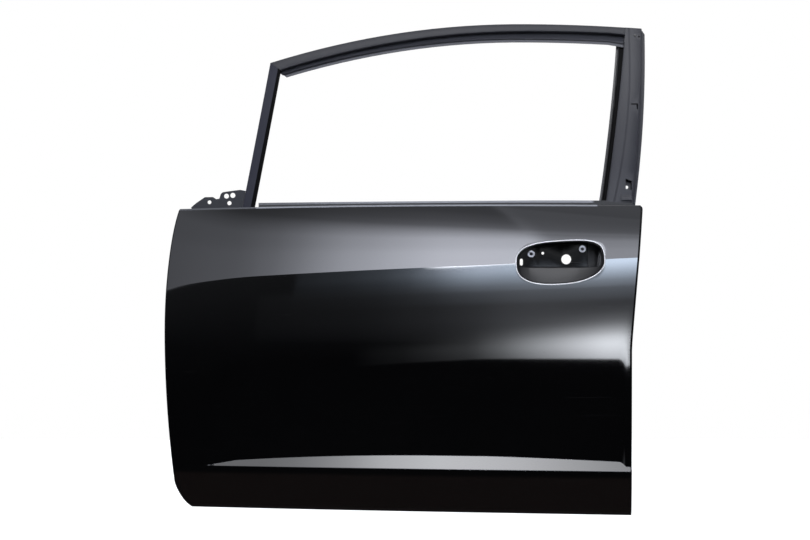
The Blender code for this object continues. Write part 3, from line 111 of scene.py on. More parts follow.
def upper_corner_inset(depth):
    rise = max(0.0, TOP_CORNER_R - depth)
    return TOP_CORNER_R - math.sqrt(TOP_CORNER_R**2 - min(rise, TOP_CORNER_R) ** 2)


def skin_front_x(z):
    if z > FRONT_EDGE_Z:
        t = (z - FRONT_EDGE_Z) / (BELT_Z - FRONT_EDGE_Z)
        return FRONT_EDGE_X + FRONT_TOP_SWEEP * t**2 + FRONT_TOP_HOOK * t**FRONT_HOOK_POWER
    t = (FRONT_EDGE_Z - z) / (FRONT_EDGE_Z - SILL_Z)
    return FRONT_EDGE_X + FRONT_LOW_SWEEP * t**2 + lower_corner_inset(z - SILL_Z)


def skin_rear_x(z):
    t = max(0.0, (z - REAR_FLARE_Z) / (BELT_Z - REAR_FLARE_Z))
    return REAR_EDGE_X + REAR_FLARE * t**REAR_FLARE_POWER


def crease_z(x):
    behind = x - CREASE_MID_X
    along = min(1.0, max(0.0, (x - CREASE_SWELL_X0) / (CREASE_SWELL_X1 - CREASE_SWELL_X0)))
    swell = CREASE_SWELL * math.sin(math.pi * along)
    return CREASE_MID_Z + CREASE_RISE * behind - CREASE_DROOP * min(0.0, behind) ** 2 + swell


def ledge_share(x):
    rise = min(1.0, max(0.0, (x - LEDGE_START_X) / (LEDGE_FULL_X - LEDGE_START_X)))
    past = max(0.0, x - LEDGE_FADE_X) / (REAR_EDGE_X - LEDGE_FADE_X)
    tip = math.sqrt(min(1.0, max(0.0, (x - LEDGE_TIP_X) / LEDGE_TIP_RUN)))
    end = LEDGE_END_FADE * min(1.0, max(0.0, (x - LEDGE_END_X) / LEDGE_END_RUN)) ** 2
    grown = tip * math.sin(math.pi / 2 * rise) ** LEDGE_RISE_POWER
    return grown - LEDGE_FADE / LEDGE_HEIGHT * past**LEDGE_FADE_POWER - end


def ledge_low_z(x):
    return LEDGE_Z - LEDGE_FALL * x


def ledge_high_z(x):
    return ledge_low_z(x) + max(LEDGE_LEAST_HEIGHT, LEDGE_HEIGHT * ledge_share(x))


def skin_y(x, z):
    """The outside of the skin."""
    crease, belt = crease_z(x), belt_z(x)
    high, low = ledge_high_z(x), ledge_low_z(x)
    ledge_y = SILL_TOP_Y + LEDGE_DEPTH * max(0.0, ledge_share(x))
    if z >= crease:
        rise, span = z - crease, belt - crease
        bow = (BELT_Y - CREASE_Y - CREASE_SLOPE * span) / span**2
        return plan_y(x) + CREASE_Y + CREASE_SLOPE * rise + bow * rise**2
    if z >= WIDEST_Z:
        return plan_y(x) + mix(WIDEST_Y, CREASE_Y, ((z - WIDEST_Z) / (crease - WIDEST_Z)) ** 2)
    if z >= high:
        return plan_y(x) + mix(WIDEST_Y, ledge_y, ((WIDEST_Z - z) / (WIDEST_Z - high)) ** 2)
    if z >= low:
        return plan_y(x) + mix(SILL_TOP_Y, ledge_y, (z - low) / (high - low))
    share = (low - z) / (low - sill_z(x))
    return plan_y(x) + mix(SILL_TOP_Y, SILL_FOOT_Y, share**SILL_CURVE_POWER)


def fold_z(x):
    """Where the belt's fold leaves the skin."""
    return belt_z(x) - BELT_FOLD_R


def hem_z(x):
    return sill_z(x) + HEM_EDGE_R


def shares(low, high, count, ease_in=1.0, ease_out=1.0):
    """Steps from low up to, but not at, high; an ease above 1 packs them towards that end."""
    made = []
    for i in range(count):
        t = i / count
        t = t**ease_in if ease_in > 1.0 else 1 - (1 - t) ** ease_out
        made.append(mix(low, high, t))
    return made


POCKET_TOP_SHARE, POCKET_LOW_SHARE = 0.52, 0.14
POCKET_LEFT_SHARE, POCKET_RIGHT_SHARE = 0.727, 0.968
ROW_BANDS = (
    (fold_z, crease_z, shares(0.0, POCKET_TOP_SHARE, 20)),
    (fold_z, crease_z, shares(POCKET_TOP_SHARE, 1.0, 20, ease_out=1.8)),
    (crease_z, ledge_high_z, shares(0.0, POCKET_LOW_SHARE, 16, ease_in=1.6)),
    (crease_z, ledge_high_z, shares(POCKET_LOW_SHARE, 1.0, 36, ease_out=2.0)),
    (ledge_high_z, ledge_low_z, [0.0, 0.02, 0.08, 0.25, 0.5, 0.75, 0.92, 0.98]),
    (ledge_low_z, hem_z, shares(0.0, 1.0, 20, ease_in=1.8) + [1.0]),
)
SKIN_ROWS = [(upper, lower, share) for upper, lower, steps in ROW_BANDS for share in steps]
POCKET_ROWS = (20, 56)
SKIN_COLUMNS = shares(0.0, 0.05, 12, ease_in=1.5) + shares(0.05, POCKET_LEFT_SHARE, 78)
SKIN_COLUMNS += shares(POCKET_LEFT_SHARE, POCKET_RIGHT_SHARE, 44)
SKIN_COLUMNS += shares(POCKET_RIGHT_SHARE, 1.0, 9) + [1.0]
POCKET_COLUMNS = (90, 134)
LAST_ROW, LAST_COLUMN = len(SKIN_ROWS) - 1, len(SKIN_COLUMNS) - 1


def row_z(row, x):
    upper, lower, share = SKIN_ROWS[row]
    return mix(upper(x), lower(x), share)


def skin_place(row, column):
    """X and Z of a grid point, found by turns because each depends on the other."""
    share = SKIN_COLUMNS[column]
    x = share * REAR_EDGE_X
    for _ in range(12):
        z = row_z(row, x)
        rear = skin_rear_x(z) - upper_corner_inset(belt_z(x) - z) - HEM_EDGE_R
        x = mix(skin_front_x(z) + HEM_EDGE_R, rear, share)
    return x, row_z(row, x)


# The handle pocket. The skin is drawn in as a long oval: its lower half is a scoop for the fingers, and its
# upper half is cut open, so that the handle's plate shows behind it.
POCKET_X, POCKET_Z, POCKET_TILT = 892.0, 6.2, math.radians(3.45)
POCKET_HALF_LENGTH, POCKET_RISE, POCKET_DROP = 102.5, 49.3, 50.5
TOP_FRONT_POWER, TOP_REAR_POWER, LOW_FRONT_POWER, LOW_REAR_POWER = 2.8, 3.55, 2.6, 2.15
MOUTH_INSET, MOUTH_FLOOR_Z, MOUTH_CORNER = 4.6, -4.2, 5.0
SCOOP_DEPTH, SCOOP_FULL_WIDTH, SCOOP_BOW, MOUTH_LIP_DEPTH = 26.0, 30.0, 0.22, 9.0
RIM_WALL, RIM_FALL = 3.4, 3.0
SCOOP_STEPS, SCOOP_EASE, RIM_STEPS = 18, 1.9, 6


def pocket_ring(inset, angles):
    """Points of the pocket's tilted oval, drawn in by an inset."""
    ring = []
    for angle in angles:
        c, s = math.cos(angle), math.sin(angle)
        if s > 0:
            height, power = POCKET_RISE - inset, TOP_REAR_POWER if c > 0 else TOP_FRONT_POWER
        else:
            height, power = POCKET_DROP - inset, LOW_REAR_POWER if c > 0 else LOW_FRONT_POWER
        reach = (abs(c) ** power + abs(s) ** power) ** (-1 / power)
        u, v = (POCKET_HALF_LENGTH - inset) * c * reach, height * s * reach
        x = POCKET_X + u * math.cos(POCKET_TILT) - v * math.sin(POCKET_TILT)
        ring.append((x, POCKET_Z + u * math.sin(POCKET_TILT) + v * math.cos(POCKET_TILT)))
    return ring


def mouth_ring(angles):
    """The edge of the opening: the oval, with a level floor that rounds up into its sides."""
    ring = []
    for x, z in pocket_ring(MOUTH_INSET, angles):
        above = (z - MOUTH_FLOOR_Z) / 2
        ring.append((x, MOUTH_FLOOR_Z + above + math.hypot(above, MOUTH_CORNER / 2)))
    return ring


def scoop_depth(width, share):
    """How deep the drawn wall lies at a share of its way from the rim to the opening's edge."""
    start = min(1.0, RIM_WALL / width)
    if share <= start:
        turn = math.pi / 2 * share / start
        return RIM_FALL * (1 - math.cos(turn))
    t = (share - start) / (1 - start)
    deep = mix(MOUTH_LIP_DEPTH, SCOOP_DEPTH, min(1.0, (width - MOUTH_INSET) / SCOOP_FULL_WIDTH))
    return RIM_FALL + (deep - RIM_FALL) * ((1 + SCOOP_BOW) * t - SCOOP_BOW * t**2)


def pocket_rings(border):
    """Rings from the grid's hole to the rim, then down the wall and the scoop to the mouth's edge."""
    angles = []
    for x, z in border:
        u, v = x - POCKET_X, z - POCKET_Z
        across = u * math.cos(POCKET_TILT) + v * math.sin(POCKET_TILT)
        up = v * math.cos(POCKET_TILT) - u * math.sin(POCKET_TILT)
        half_height = POCKET_RISE if up > 0 else POCKET_DROP
        angles.append(math.atan2(up / half_height, across / POCKET_HALF_LENGTH))
    rim, mouth = pocket_ring(0.0, angles), mouth_ring(angles)
    rings = []
    for step in range(1, RIM_STEPS + 1):
        share = step / RIM_STEPS
        ring = [(mix(x0, x1, share), mix(z0, z1, share)) for (x0, z0), (x1, z1) in zip(border, rim)]
        rings.append([(x, skin_y(x, z), z) for x, z in ring])
    for step in range(1, SCOOP_STEPS + 1):
        share = (step / SCOOP_STEPS) ** SCOOP_EASE
        ring = []
        for (x0, z0), (x1, z1) in zip(rim, mouth):
            depth = scoop_depth(math.hypot(x1 - x0, z1 - z0), share)
            ring.append((mix(x0, x1, share), skin_y(x0, z0) + depth, mix(z0, z1, share)))
        rings.append(ring)
    return rings


def outline_ways(places):
    """The way into the panel at each place of its outline."""
    ways = [Vector((1.0, 0.0))]
    for before, place, after in zip(places, places[1:], places[2:]):
        arriving = Vector((place[0] - before[0], place[1] - before[1])).normalized()
        leaving = Vector((after[0] - place[0], after[1] - place[1])).normalized()
        run = (arriving + leaving).normalized()
        ways.append(Vector((-run.y, run.x)))
    return ways + [Vector((-1.0, 0.0))]


def object_from(name, points, faces, gauge=0.0):
    """A piece from points in millimetres; a gauge thickens an open sheet away from its normals."""
    mesh = bpy.data.meshes.new(name)
    mesh.from_pydata([Vector(point) * MM for point in points], [], faces)
    mesh.validate()
    mesh.shade_smooth()
    piece = bpy.data.objects.new(name, mesh)
    bpy.context.scene.collection.objects.link(piece)
    if gauge:
        wall = piece.modifiers.new("gauge", "SOLIDIFY")
        wall.thickness = gauge * MM
        wall.offset = -1.0
        wall.use_even_offset = True
    return piece


def build_skin():
    points, index, faces = [], {}, []

    def spot(key, point):
        if key not in index:
            index[key] = len(points)
            points.append(point)
        return index[key]

    def on_skin(row, column):
        x, z = skin_place(row, column)
        return spot((row, column), (x, skin_y(x, z), z))

    (top, bottom), (left, right) = POCKET_ROWS, POCKET_COLUMNS
    for row in range(LAST_ROW):
        for column in range(LAST_COLUMN):
            if not (top <= row < bottom and left <= column < right):
                corners = ((row, column), (row + 1, column), (row + 1, column + 1), (row, column + 1))
                faces.append(tuple(on_skin(*corner) for corner in corners))

    border = [(bottom, c) for c in range(left, right)] + [(r, right) for r in range(bottom, top, -1)]
    border += [(top, c) for c in range(right, left, -1)] + [(r, left) for r in range(top, bottom)]
    loops = [[on_skin(*place) for place in border]]
    for i, ring in enumerate(pocket_rings([skin_place(*place) for place in border])):
        loops.append([spot(("pocket", i, j), point) for j, point in enumerate(ring)])
    for outer, inner in zip(loops, loops[1:]):
        for j in range(len(border)):
            k = (j + 1) % len(border)
            faces.append((outer[j], outer[k], inner[k], inner[j]))

    edge_keys = [(row, 0) for row in range(LAST_ROW + 1)]
    edge_keys += [(LAST_ROW, column) for column in range(1, LAST_COLUMN + 1)]
    edge_keys += [(row, LAST_COLUMN) for row in range(LAST_ROW - 1, -1, -1)]
    places = [skin_place(*key) for key in edge_keys]
    corner = places[LAST_ROW + LAST_COLUMN]
    turns = [math.pi * (k + 1) / HEM_STEPS for k in range(HEM_STEPS)]
    strips = []
    for i, ((x, z), way) in enumerate(zip(places, outline_ways(places))):
        strip = [on_skin(*edge_keys[i])]
        for k, turn in enumerate(turns):
            out = HEM_EDGE_R * math.sin(turn)
            depth = HEM_DEPTH / 2 * (1 - math.cos(turn))
            strip.append(spot(("hem", i, k), (x - way.x * out, skin_y(x, z) + depth, z - way.y * out)))
        from_corner = math.hypot(x - corner[0], z - corner[1])
        reach = min(HEM_RETURN, HEM_CORNER_RETURN + HEM_CORNER_GAIN * from_corner) - HEM_EDGE_R
        xr, zr = x + way.x * reach, z + way.y * reach
        strip.append(spot(("hem", i, "return"), (xr, skin_y(xr, zr) + HEM_DEPTH, zr)))
        strips.append(strip)
    for strip, following in zip(strips, strips[1:]):
        faces += list(zip(strip, strip[1:], following[1:], following))

    folds = []
    for column in range(LAST_COLUMN + 1):
        x, z = skin_place(0, column)
        strip = [on_skin(0, column)]
        for k in range(1, FOLD_STEPS + 1):
            turn = math.pi / 2 / FOLD_STEPS * k
            y = skin_y(x, z) + BELT_FOLD_R * (1 - math.cos(turn))
            strip.append(spot(("fold", column, k), (x, y, z + BELT_FOLD_R * math.sin(turn))))
        depth = BELT_FOLD if 1 < column < LAST_COLUMN - 1 else BELT_FOLD_END
        strip.append(spot(("fold", column, "edge"), (x, skin_y(x, z) + depth, z + BELT_FOLD_R)))
        folds.append(strip)
    for strip, following in zip(folds, folds[1:]):
        for a, b, c, d in zip(strip, strip[1:], following[1:], following):
            faces.append((a, d, c, b))
    return object_from("skin", points, faces, SKIN_GAUGE)


skin = build_skin()


# The skin's finish. Like every pressing it is dipped in black primer: a thin satin film with a fine grain, a
# dry film of dust on what faces up, and the light rubs and scratches of a shell that has been handled. Along
# its belt fold a pale band is painted on as the fold's highlight, and a brown film lies on the sill.
FILM_SCALE, RUB_DENSITY, GRAIN_HEIGHT, WAVE_HEIGHT = 7.0, 0.5, 0.6, 0.4
RUB_PALENESS, RUB_DULLNESS = 0.35, 0.5


def effect_group(name, inputs, output):
    """An empty shader group with its input and output nodes; inputs are the sockets' names and defaults."""
    group = bpy.data.node_groups.new(name, "ShaderNodeTree")
    for socket, default in inputs.items():
        made = group.interface.new_socket(socket, in_out="INPUT", socket_type="NodeSocketFloat")
        made.default_value = default
    group.interface.new_socket(output, in_out="OUTPUT", socket_type="NodeSocketFloat")
    return group, group.nodes.new("NodeGroupInput"), group.nodes.new("NodeGroupOutput")


def feed(tree, socket, value):
    """Gives a socket a plain value, or links another node's output to it."""
    if isinstance(value, bpy.types.NodeSocket):
        tree.links.new(value, socket)
    else:
        socket.default_value = value


def noise_node(tree, source, scale, detail, roughness=0.5):
    node = tree.nodes.new("ShaderNodeTexNoise")
    tree.links.new(source, node.inputs["Vector"])
    for socket, value in (("Scale", scale), ("Detail", detail), ("Roughness", roughness)):
        feed(tree, node.inputs[socket], value)
    return node.outputs["Fac"]


def math_node(tree, operation, a, b):
    node = tree.nodes.new("ShaderNodeMath")
    node.operation = operation
    feed(tree, node.inputs[0], a)
    feed(tree, node.inputs[1], b)
    return node.outputs[0]


def range_node(tree, value, low, high, to_low=0.0, to_high=1.0):
    """A smooth step from to_low to to_high, as the value goes from low to high."""
    node = tree.nodes.new("ShaderNodeMapRange")
    node.interpolation_type = "SMOOTHSTEP"
    ends = (("Value", value), ("From Min", low), ("From Max", high), ("To Min", to_low), ("To Max", to_high))
    for socket, end in ends:
        feed(tree, node.inputs[socket], end)
    return node.outputs[0]


def color_blend(tree, share, a, b):
    """From colour a to colour b, each a value or another node's output."""
    node = tree.nodes.new("ShaderNodeMix")
    node.data_type = "RGBA"
    for socket, value in (("Factor", share), ("A", a), ("B", b)):
        feed(tree, node.inputs[socket], value)
    return node.outputs["Result"]


def door_place(tree):
    """X and Z of a point, in millimetres."""
    place = tree.nodes.new("ShaderNodeTexCoord")
    split = tree.nodes.new("ShaderNodeSeparateXYZ")
    tree.links.new(place.outputs["Object"], split.inputs[0])
    return [math_node(tree, "DIVIDE", split.outputs[axis], MM) for axis in "XZ"]


def height_over(tree, level, slope=0.0, crown=0.0, peak_x=0.0):
    """How many millimetres a point lies above the line level + slope * x - crown * (x - peak_x)**2."""
    x, z = door_place(tree)
    away = math_node(tree, "SUBTRACT", x, peak_x)
    sag = math_node(tree, "MULTIPLY", math_node(tree, "MULTIPLY", away, away), crown)
    straight = math_node(tree, "ADD", math_node(tree, "MULTIPLY", x, slope), level)
    return math_node(tree, "SUBTRACT", z, math_node(tree, "SUBTRACT", straight, sag))


def stretched(tree, scale, turn=0.0):
    """Object coordinates, turned about Y and then stretched along each axis."""
    place = tree.nodes.new("ShaderNodeTexCoord")
    node = tree.nodes.new("ShaderNodeMapping")
    node.inputs["Rotation"].default_value = (0.0, turn, 0.0)
    node.inputs["Scale"].default_value = scale
    tree.links.new(place.outputs["Object"], node.inputs["Vector"])
    return node.outputs[0]


def build_dust_film():
    """Dust: a cloudy film, thicker on what faces up."""
    group, given, out = effect_group("dust_film", {"Scale": FILM_SCALE, "Amount": 0.1, "Settled": 0.4}, "Mask")
    place = stretched(group, (1.0, 1.0, 1.0))
    clouds = range_node(group, noise_node(group, place, given.outputs["Scale"], 6.0, 0.62), 0.38, 0.74)
    specks = range_node(group, noise_node(group, place, 420.0, 2.0), 0.66, 0.74)
    normal = group.nodes.new("ShaderNodeSeparateXYZ")
    surface = group.nodes.new("ShaderNodeNewGeometry")
    group.links.new(surface.outputs["Normal"], normal.inputs[0])
    upward = range_node(group, normal.outputs["Z"], 0.2, 0.9)
    settled = math_node(group, "MULTIPLY", upward, given.outputs["Settled"])
    film = math_node(group, "MULTIPLY", clouds, given.outputs["Amount"])
    dots = math_node(group, "MULTIPLY", specks, given.outputs["Amount"])
    total = math_node(group, "ADD", math_node(group, "ADD", film, settled), dots)
    group.links.new(math_node(group, "MINIMUM", total, 1.0), out.inputs["Mask"])
    return group


def build_rub_marks():
    """Fine scratches: two sets of long thin lines, each broken up so that only short runs are left."""
    group, given, out = effect_group("rub_marks", {"Density": RUB_DENSITY, "Amount": 0.3}, "Mask")
    total = None
    for scale, turn in (((3.0, 3.0, 260.0), 0.35), ((2.2, 2.2, 310.0), -0.9)):
        lines = range_node(group, noise_node(group, stretched(group, scale, turn), 1.0, 1.0), 0.735, 0.77)
        patches = noise_node(group, stretched(group, (7.0, 7.0, 7.0), turn), 1.0, 2.0)
        limit = math_node(group, "SUBTRACT", 1.0, given.outputs["Density"])
        broken = math_node(group, "GREATER_THAN", patches, limit)
        marks = math_node(group, "MULTIPLY", lines, broken)
        total = marks if total is None else math_node(group, "MAXIMUM", total, marks)
    group.links.new(math_node(group, "MULTIPLY", total, given.outputs["Amount"]), out.inputs["Mask"])
    return group


def build_primer_grain():
    """The film's own surface: a fine grain over a slow waviness."""
    group, given, out = effect_group("primer_grain", {"Grain": GRAIN_HEIGHT, "Wave": WAVE_HEIGHT}, "Height")
    place = stretched(group, (1.0, 1.0, 1.0))
    grain = math_node(group, "MULTIPLY", noise_node(group, place, 1500.0, 2.0), given.outputs["Grain"])
    wave = math_node(group, "MULTIPLY", noise_node(group, place, 260.0, 1.0), given.outputs["Wave"])
    group.links.new(math_node(group, "ADD", grain, wave), out.inputs["Height"])
    return group


def build_belt_highlight_band():
    """A painted highlight in a band along the arched belt; it fades in from the front and out towards the
    rear.
    """
    group, given, out = effect_group("belt_highlight_band", FOLD_HIGHLIGHT_MASK, "Mask")
    height = height_over(group, given.outputs["Peak Z"], 0.0, given.outputs["Crown"], given.outputs["Peak X"])
    edge = range_node(group, height, given.outputs["Edge Low"], given.outputs["Edge High"])
    x, _ = door_place(group)
    front = range_node(group, x, *(given.outputs[end] for end in ("Front From", "Front To", "Thin", "Full")))
    rear = range_node(group, x, *(given.outputs[end] for end in ("Rear From", "Rear To", "Rear Share")), 0.0)
    highlight = math_node(group, "MULTIPLY", edge, math_node(group, "MULTIPLY", front, rear))
    group.links.new(highlight, out.inputs["Mask"])
    return group


FOLD_HIGHLIGHT_MASK = {
    "Peak X": BELT_PEAK_X, "Peak Z": BELT_PEAK_Z, "Crown": BELT_CROWN, "Edge Low": -4.0, "Edge High": -2.8,
    "Front From": 184.0, "Front To": 192.0, "Thin": 0.3, "Full": 1.0,
    "Rear From": 976.0, "Rear To": 982.0, "Rear Share": 0.8,
}
DUST_FILM = build_dust_film()
RUB_MARKS = build_rub_marks()
PRIMER_GRAIN = build_primer_grain()
BELT_HIGHLIGHT_BAND = build_belt_highlight_band()
DUST_GREY = (0.19, 0.185, 0.18, 1.0)


def placed_group(tree, group, values):
    node = tree.nodes.new("ShaderNodeGroup")
    node.node_tree = group
    for socket, value in values.items():
        node.inputs[socket].default_value = value
    return node.outputs[0]


def primer(name, tone, roughness, dust=0.05, settled=0.1, rubs=0.25, grain_mm=0.002, lustre=0.5):
    """Black primer: its tone, its sheen, and how much dust, rubbing and grain it carries."""
    material = bpy.data.materials.new(name)
    material.use_nodes = True
    tree = material.node_tree
    shader = tree.nodes["Principled BSDF"]
    film = placed_group(tree, DUST_FILM, {"Scale": FILM_SCALE, "Amount": dust, "Settled": settled})
    marks = placed_group(tree, RUB_MARKS, {"Density": RUB_DENSITY, "Amount": rubs})
    height = placed_group(tree, PRIMER_GRAIN, {"Grain": GRAIN_HEIGHT, "Wave": WAVE_HEIGHT})
    mask = math_node(tree, "MAXIMUM", film, math_node(tree, "MULTIPLY", marks, RUB_PALENESS))
    tree.links.new(color_blend(tree, mask, (*tone, 1.0), DUST_GREY), shader.inputs["Base Color"])
    shader.inputs["Specular IOR Level"].default_value = lustre
    rougher = math_node(tree, "MULTIPLY", math_node(tree, "MAXIMUM", film, marks), RUB_DULLNESS)
    tree.links.new(math_node(tree, "ADD", rougher, roughness), shader.inputs["Roughness"])
    bump = tree.nodes.new("ShaderNodeBump")
    bump.inputs["Distance"].default_value = grain_mm * MM
    bump.inputs["Strength"].default_value = 1.0
    tree.links.new(height, bump.inputs["Height"])
    tree.links.new(bump.outputs["Normal"], shader.inputs["Normal"])
    return material


def overlay_band(material, mask, tone, roughness):
    """Lays another colour and roughness over a material where the mask is white: a film, a painted highlight
    or painted shade.
    """
    tree = material.node_tree
    shader = tree.nodes["Principled BSDF"]
    under = shader.inputs["Base Color"].links[0].from_socket
    tree.links.new(color_blend(tree, mask, under, (*tone, 1.0)), shader.inputs["Base Color"])
    sheen = shader.inputs["Roughness"].links[0].from_socket
    rougher = math_node(tree, "MULTIPLY", mask, roughness)
    tree.links.new(math_node(tree, "ADD", sheen, rougher), shader.inputs["Roughness"])


SKIN_BLACK, PAINTED_FOLD_HIGHLIGHT = (0.0008, 0.0008, 0.001), (0.3, 0.31, 0.34)
SILL_BROWN = (0.0065, 0.0045, 0.0038)
SILL_FILM_DROP, SILL_FILM_RUN, SILL_FILM_SHARE = 10.0, 12.0, 0.65
skin_primer = primer("skin_primer", SKIN_BLACK, 0.035, dust=0.002, settled=0.006, rubs=0.06, grain_mm=0.001)
skin_tree = skin_primer.node_tree
# The pale grey band along the belt fold is a painted highlight.
overlay_band(skin_primer, placed_group(skin_tree, BELT_HIGHLIGHT_BAND, FOLD_HIGHLIGHT_MASK), PAINTED_FOLD_HIGHLIGHT, 0.4)
over_sill = height_over(skin_tree, LEDGE_Z - SILL_FILM_DROP, -LEDGE_FALL)
sill_film = range_node(skin_tree, over_sill, 0.0, -SILL_FILM_RUN, 0.0, SILL_FILM_SHARE)
overlay_band(skin_primer, sill_film, SILL_BROWN, 0.1)
skin.data.materials.append(skin_primer)

# The scoop is out of reach of the polish, so its primer keeps a soft, even sheen.
SCOOP_MARGIN = 6.0
SCOOP_BLACK = (0.008, 0.008, 0.009)
scoop_primer = primer("scoop_primer", SCOOP_BLACK, 0.42, dust=0.01, settled=0.02, rubs=0.3)
skin.data.materials.append(scoop_primer)
for polygon in skin.data.polygons:
    x, y, z = polygon.center / MM
    near = abs(x - POCKET_X) < POCKET_HALF_LENGTH and abs(z - POCKET_Z) < POCKET_DROP + SCOOP_MARGIN
    if near and y - skin_y(x, z) > RIM_FALL:
        polygon.material_index = 1
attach(skin, "root")
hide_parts("outer_panel")

# The pocket's rolled edge. The press leaves a narrow bead all round the oval; its near-white steel
# finish is a painted highlight for the light that the rim catches.
BEAD_R, BEAD_RISE = 1.35, 0.35
BEAD_STEPS, BEAD_SIDES = 160, 8
PAINTED_RIM_HIGHLIGHT = (0.9, 0.9, 0.92)


def build_pocket_bead():
    angles = [2 * math.pi * i / BEAD_STEPS for i in range(BEAD_STEPS)]
    inner, outer = pocket_ring(BEAD_R, angles), pocket_ring(-BEAD_R, angles)
    points, faces = [], []
    for (xi, zi), (xo, zo) in zip(inner, outer):
        x, z = (xi + xo) / 2, (zi + zo) / 2
        for side in range(BEAD_SIDES):
            turn = 2 * math.pi * side / BEAD_SIDES
            out = math.cos(turn) / 2
            y = skin_y(x, z) - BEAD_RISE - BEAD_R * math.sin(turn)
            points.append((x + (xo - xi) * out, y, z + (zo - zi) * out))
    for i in range(BEAD_STEPS):
        for side in range(BEAD_SIDES):
            a, b = i * BEAD_SIDES, (i + 1) % BEAD_STEPS * BEAD_SIDES
            k = (side + 1) % BEAD_SIDES
            faces.append((a + side, b + side, b + k, a + k))
    return object_from("pocket_bead", points, faces)


def build_wear_and_highlight_patches():
    """Patches of steel through the primer: wear on the collars, a painted highlight on the pocket's bead.
    Steel Share is how much is steel.
    """
    group, given, out = effect_group("wear_and_highlight_patches", {"Steel Share": 0.5}, "Mask")
    patches = noise_node(group, stretched(group, (1.0, 1.0, 1.0)), 90.0, 4.0)
    half = math_node(group, "MULTIPLY", given.outputs["Steel Share"], 0.5)
    low, high = (math_node(group, "SUBTRACT", level, half) for level in (0.62, 0.78))
    group.links.new(range_node(group, patches, low, high), out.inputs["Mask"])
    return group


WEAR_AND_HIGHLIGHT_PATCHES = build_wear_and_highlight_patches()
PRIMER_BLACK = (0.004, 0.004, 0.0045, 1.0)


def steel_wear_and_highlight(name, tone, roughness, metallic, steel_share):
    """Steel in patches through thin primer: real wear on the collars, a painted highlight on the pocket's
    bead.
    """
    material = bpy.data.materials.new(name)
    material.use_nodes = True
    tree = material.node_tree
    shader = tree.nodes["Principled BSDF"]
    patches = placed_group(tree, WEAR_AND_HIGHLIGHT_PATCHES, {"Steel Share": steel_share})
    tree.links.new(color_blend(tree, patches, PRIMER_BLACK, (*tone, 1.0)), shader.inputs["Base Color"])
    tree.links.new(math_node(tree, "MULTIPLY", patches, metallic), shader.inputs["Metallic"])
    shader.inputs["Roughness"].default_value = roughness
    return material


bead = build_pocket_bead()
# The bead's near-white steel is a painted highlight.
bead.data.materials.append(steel_wear_and_highlight("bead_highlight", PAINTED_RIM_HIGHLIGHT, 0.42, 0.3, 0.85))
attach(bead, "root")

# The handle's plate, pressed and welded behind the pocket's mouth; its primer is given almost no sheen, as
# painted shade for the dark behind the mouth. Two turned steel collars stand on it for the handle's bolts,
# rubbed bare in patches.
WELD_M = 0.00002
BEND_ANGLE = math.radians(32.0)
COLLAR_STEEL = (0.3, 0.3, 0.32)
dressed = {"outer_panel"}


def dress(start, finish):
    """Finishes the pieces whose names open so: their corners are joined, and their bends stay crisp."""
    for name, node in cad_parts.items():
        if name in dressed or not name.startswith(start):
            continue
        dressed.add(name)
        for polygon in node.data.polygons:
            polygon.use_smooth = True
        weld = node.modifiers.new("weld", "WELD")
        weld.merge_threshold = WELD_M
        split = node.modifiers.new("crisp_bends", "EDGE_SPLIT")
        split.split_angle = BEND_ANGLE
        node.data.materials.clear()
        node.data.materials.append(finish)


# Painted shade: the plate's black primer with almost no sheen.
shaded_pocket_primer = primer("shaded_pocket_primer", SKIN_BLACK, 0.16, dust=0.002, settled=0.0, rubs=0.3, lustre=0.06)
dress("handle_reinforcement", shaded_pocket_primer)
dress("handle_collar", steel_wear_and_highlight("collar_steel", COLLAR_STEEL, 0.35, 0.8, 0.62))

# The front upright, roll-formed from one strip and welded to the belt. Its outer leg takes a
# thin, greyish coat; the slot behind that leg, where the glass runs, is painted black as its shade.
SLOT_LINE = {"foot_x": 182.4, "foot_z": 150.0, "rake": 0.1871, "bow": -4.0e-5}
SLOT_FROM, SLOT_TO = -6.8, -5.8
SLOT_PAINTED_SHADE = (0.001, 0.001, 0.0012)


def behind_line(tree, foot_x, foot_z, rake, bow):
    """How many millimetres a point lies behind the line foot_x + rake * rise + bow * rise**2."""
    x, z = door_place(tree)
    rise = math_node(tree, "SUBTRACT", z, foot_z)
    curve = math_node(tree, "MULTIPLY", math_node(tree, "MULTIPLY", rise, rise), bow)
    leaning = math_node(tree, "ADD", math_node(tree, "MULTIPLY", rise, rake), curve)
    return math_node(tree, "SUBTRACT", x, math_node(tree, "ADD", leaning, foot_x))


SASH_GREY = (0.036, 0.037, 0.049)
sash_primer = primer("sash_primer", SASH_GREY, 0.45, dust=0.03, settled=0.1, rubs=0.3, lustre=0.05)
sash_tree = sash_primer.node_tree
# Painted shade: the glass slot behind the outer leg is painted black.
sash_slot_shade = range_node(sash_tree, behind_line(sash_tree, **SLOT_LINE), SLOT_FROM, SLOT_TO)
overlay_band(sash_primer, sash_slot_shade, SLOT_PAINTED_SHADE, 0.1)
dress("front_sash", sash_primer)

# The header, a roll-formed rail bent to the roof's curve and welded to both uprights. Its inner leg hangs
# lower than its outer one, so that the glass slides in behind the outer leg; its paler grey is painted light.
FRAME_LEAN, LEG_SPLIT_Y = 0.51, -156.0
FACING_OUT = -0.8
HEADER_BLACK = (0.010, 0.011, 0.017)
frame_primer = primer("frame_primer", HEADER_BLACK, 0.42, dust=0.05, settled=0.1, rubs=0.3, lustre=0.34)
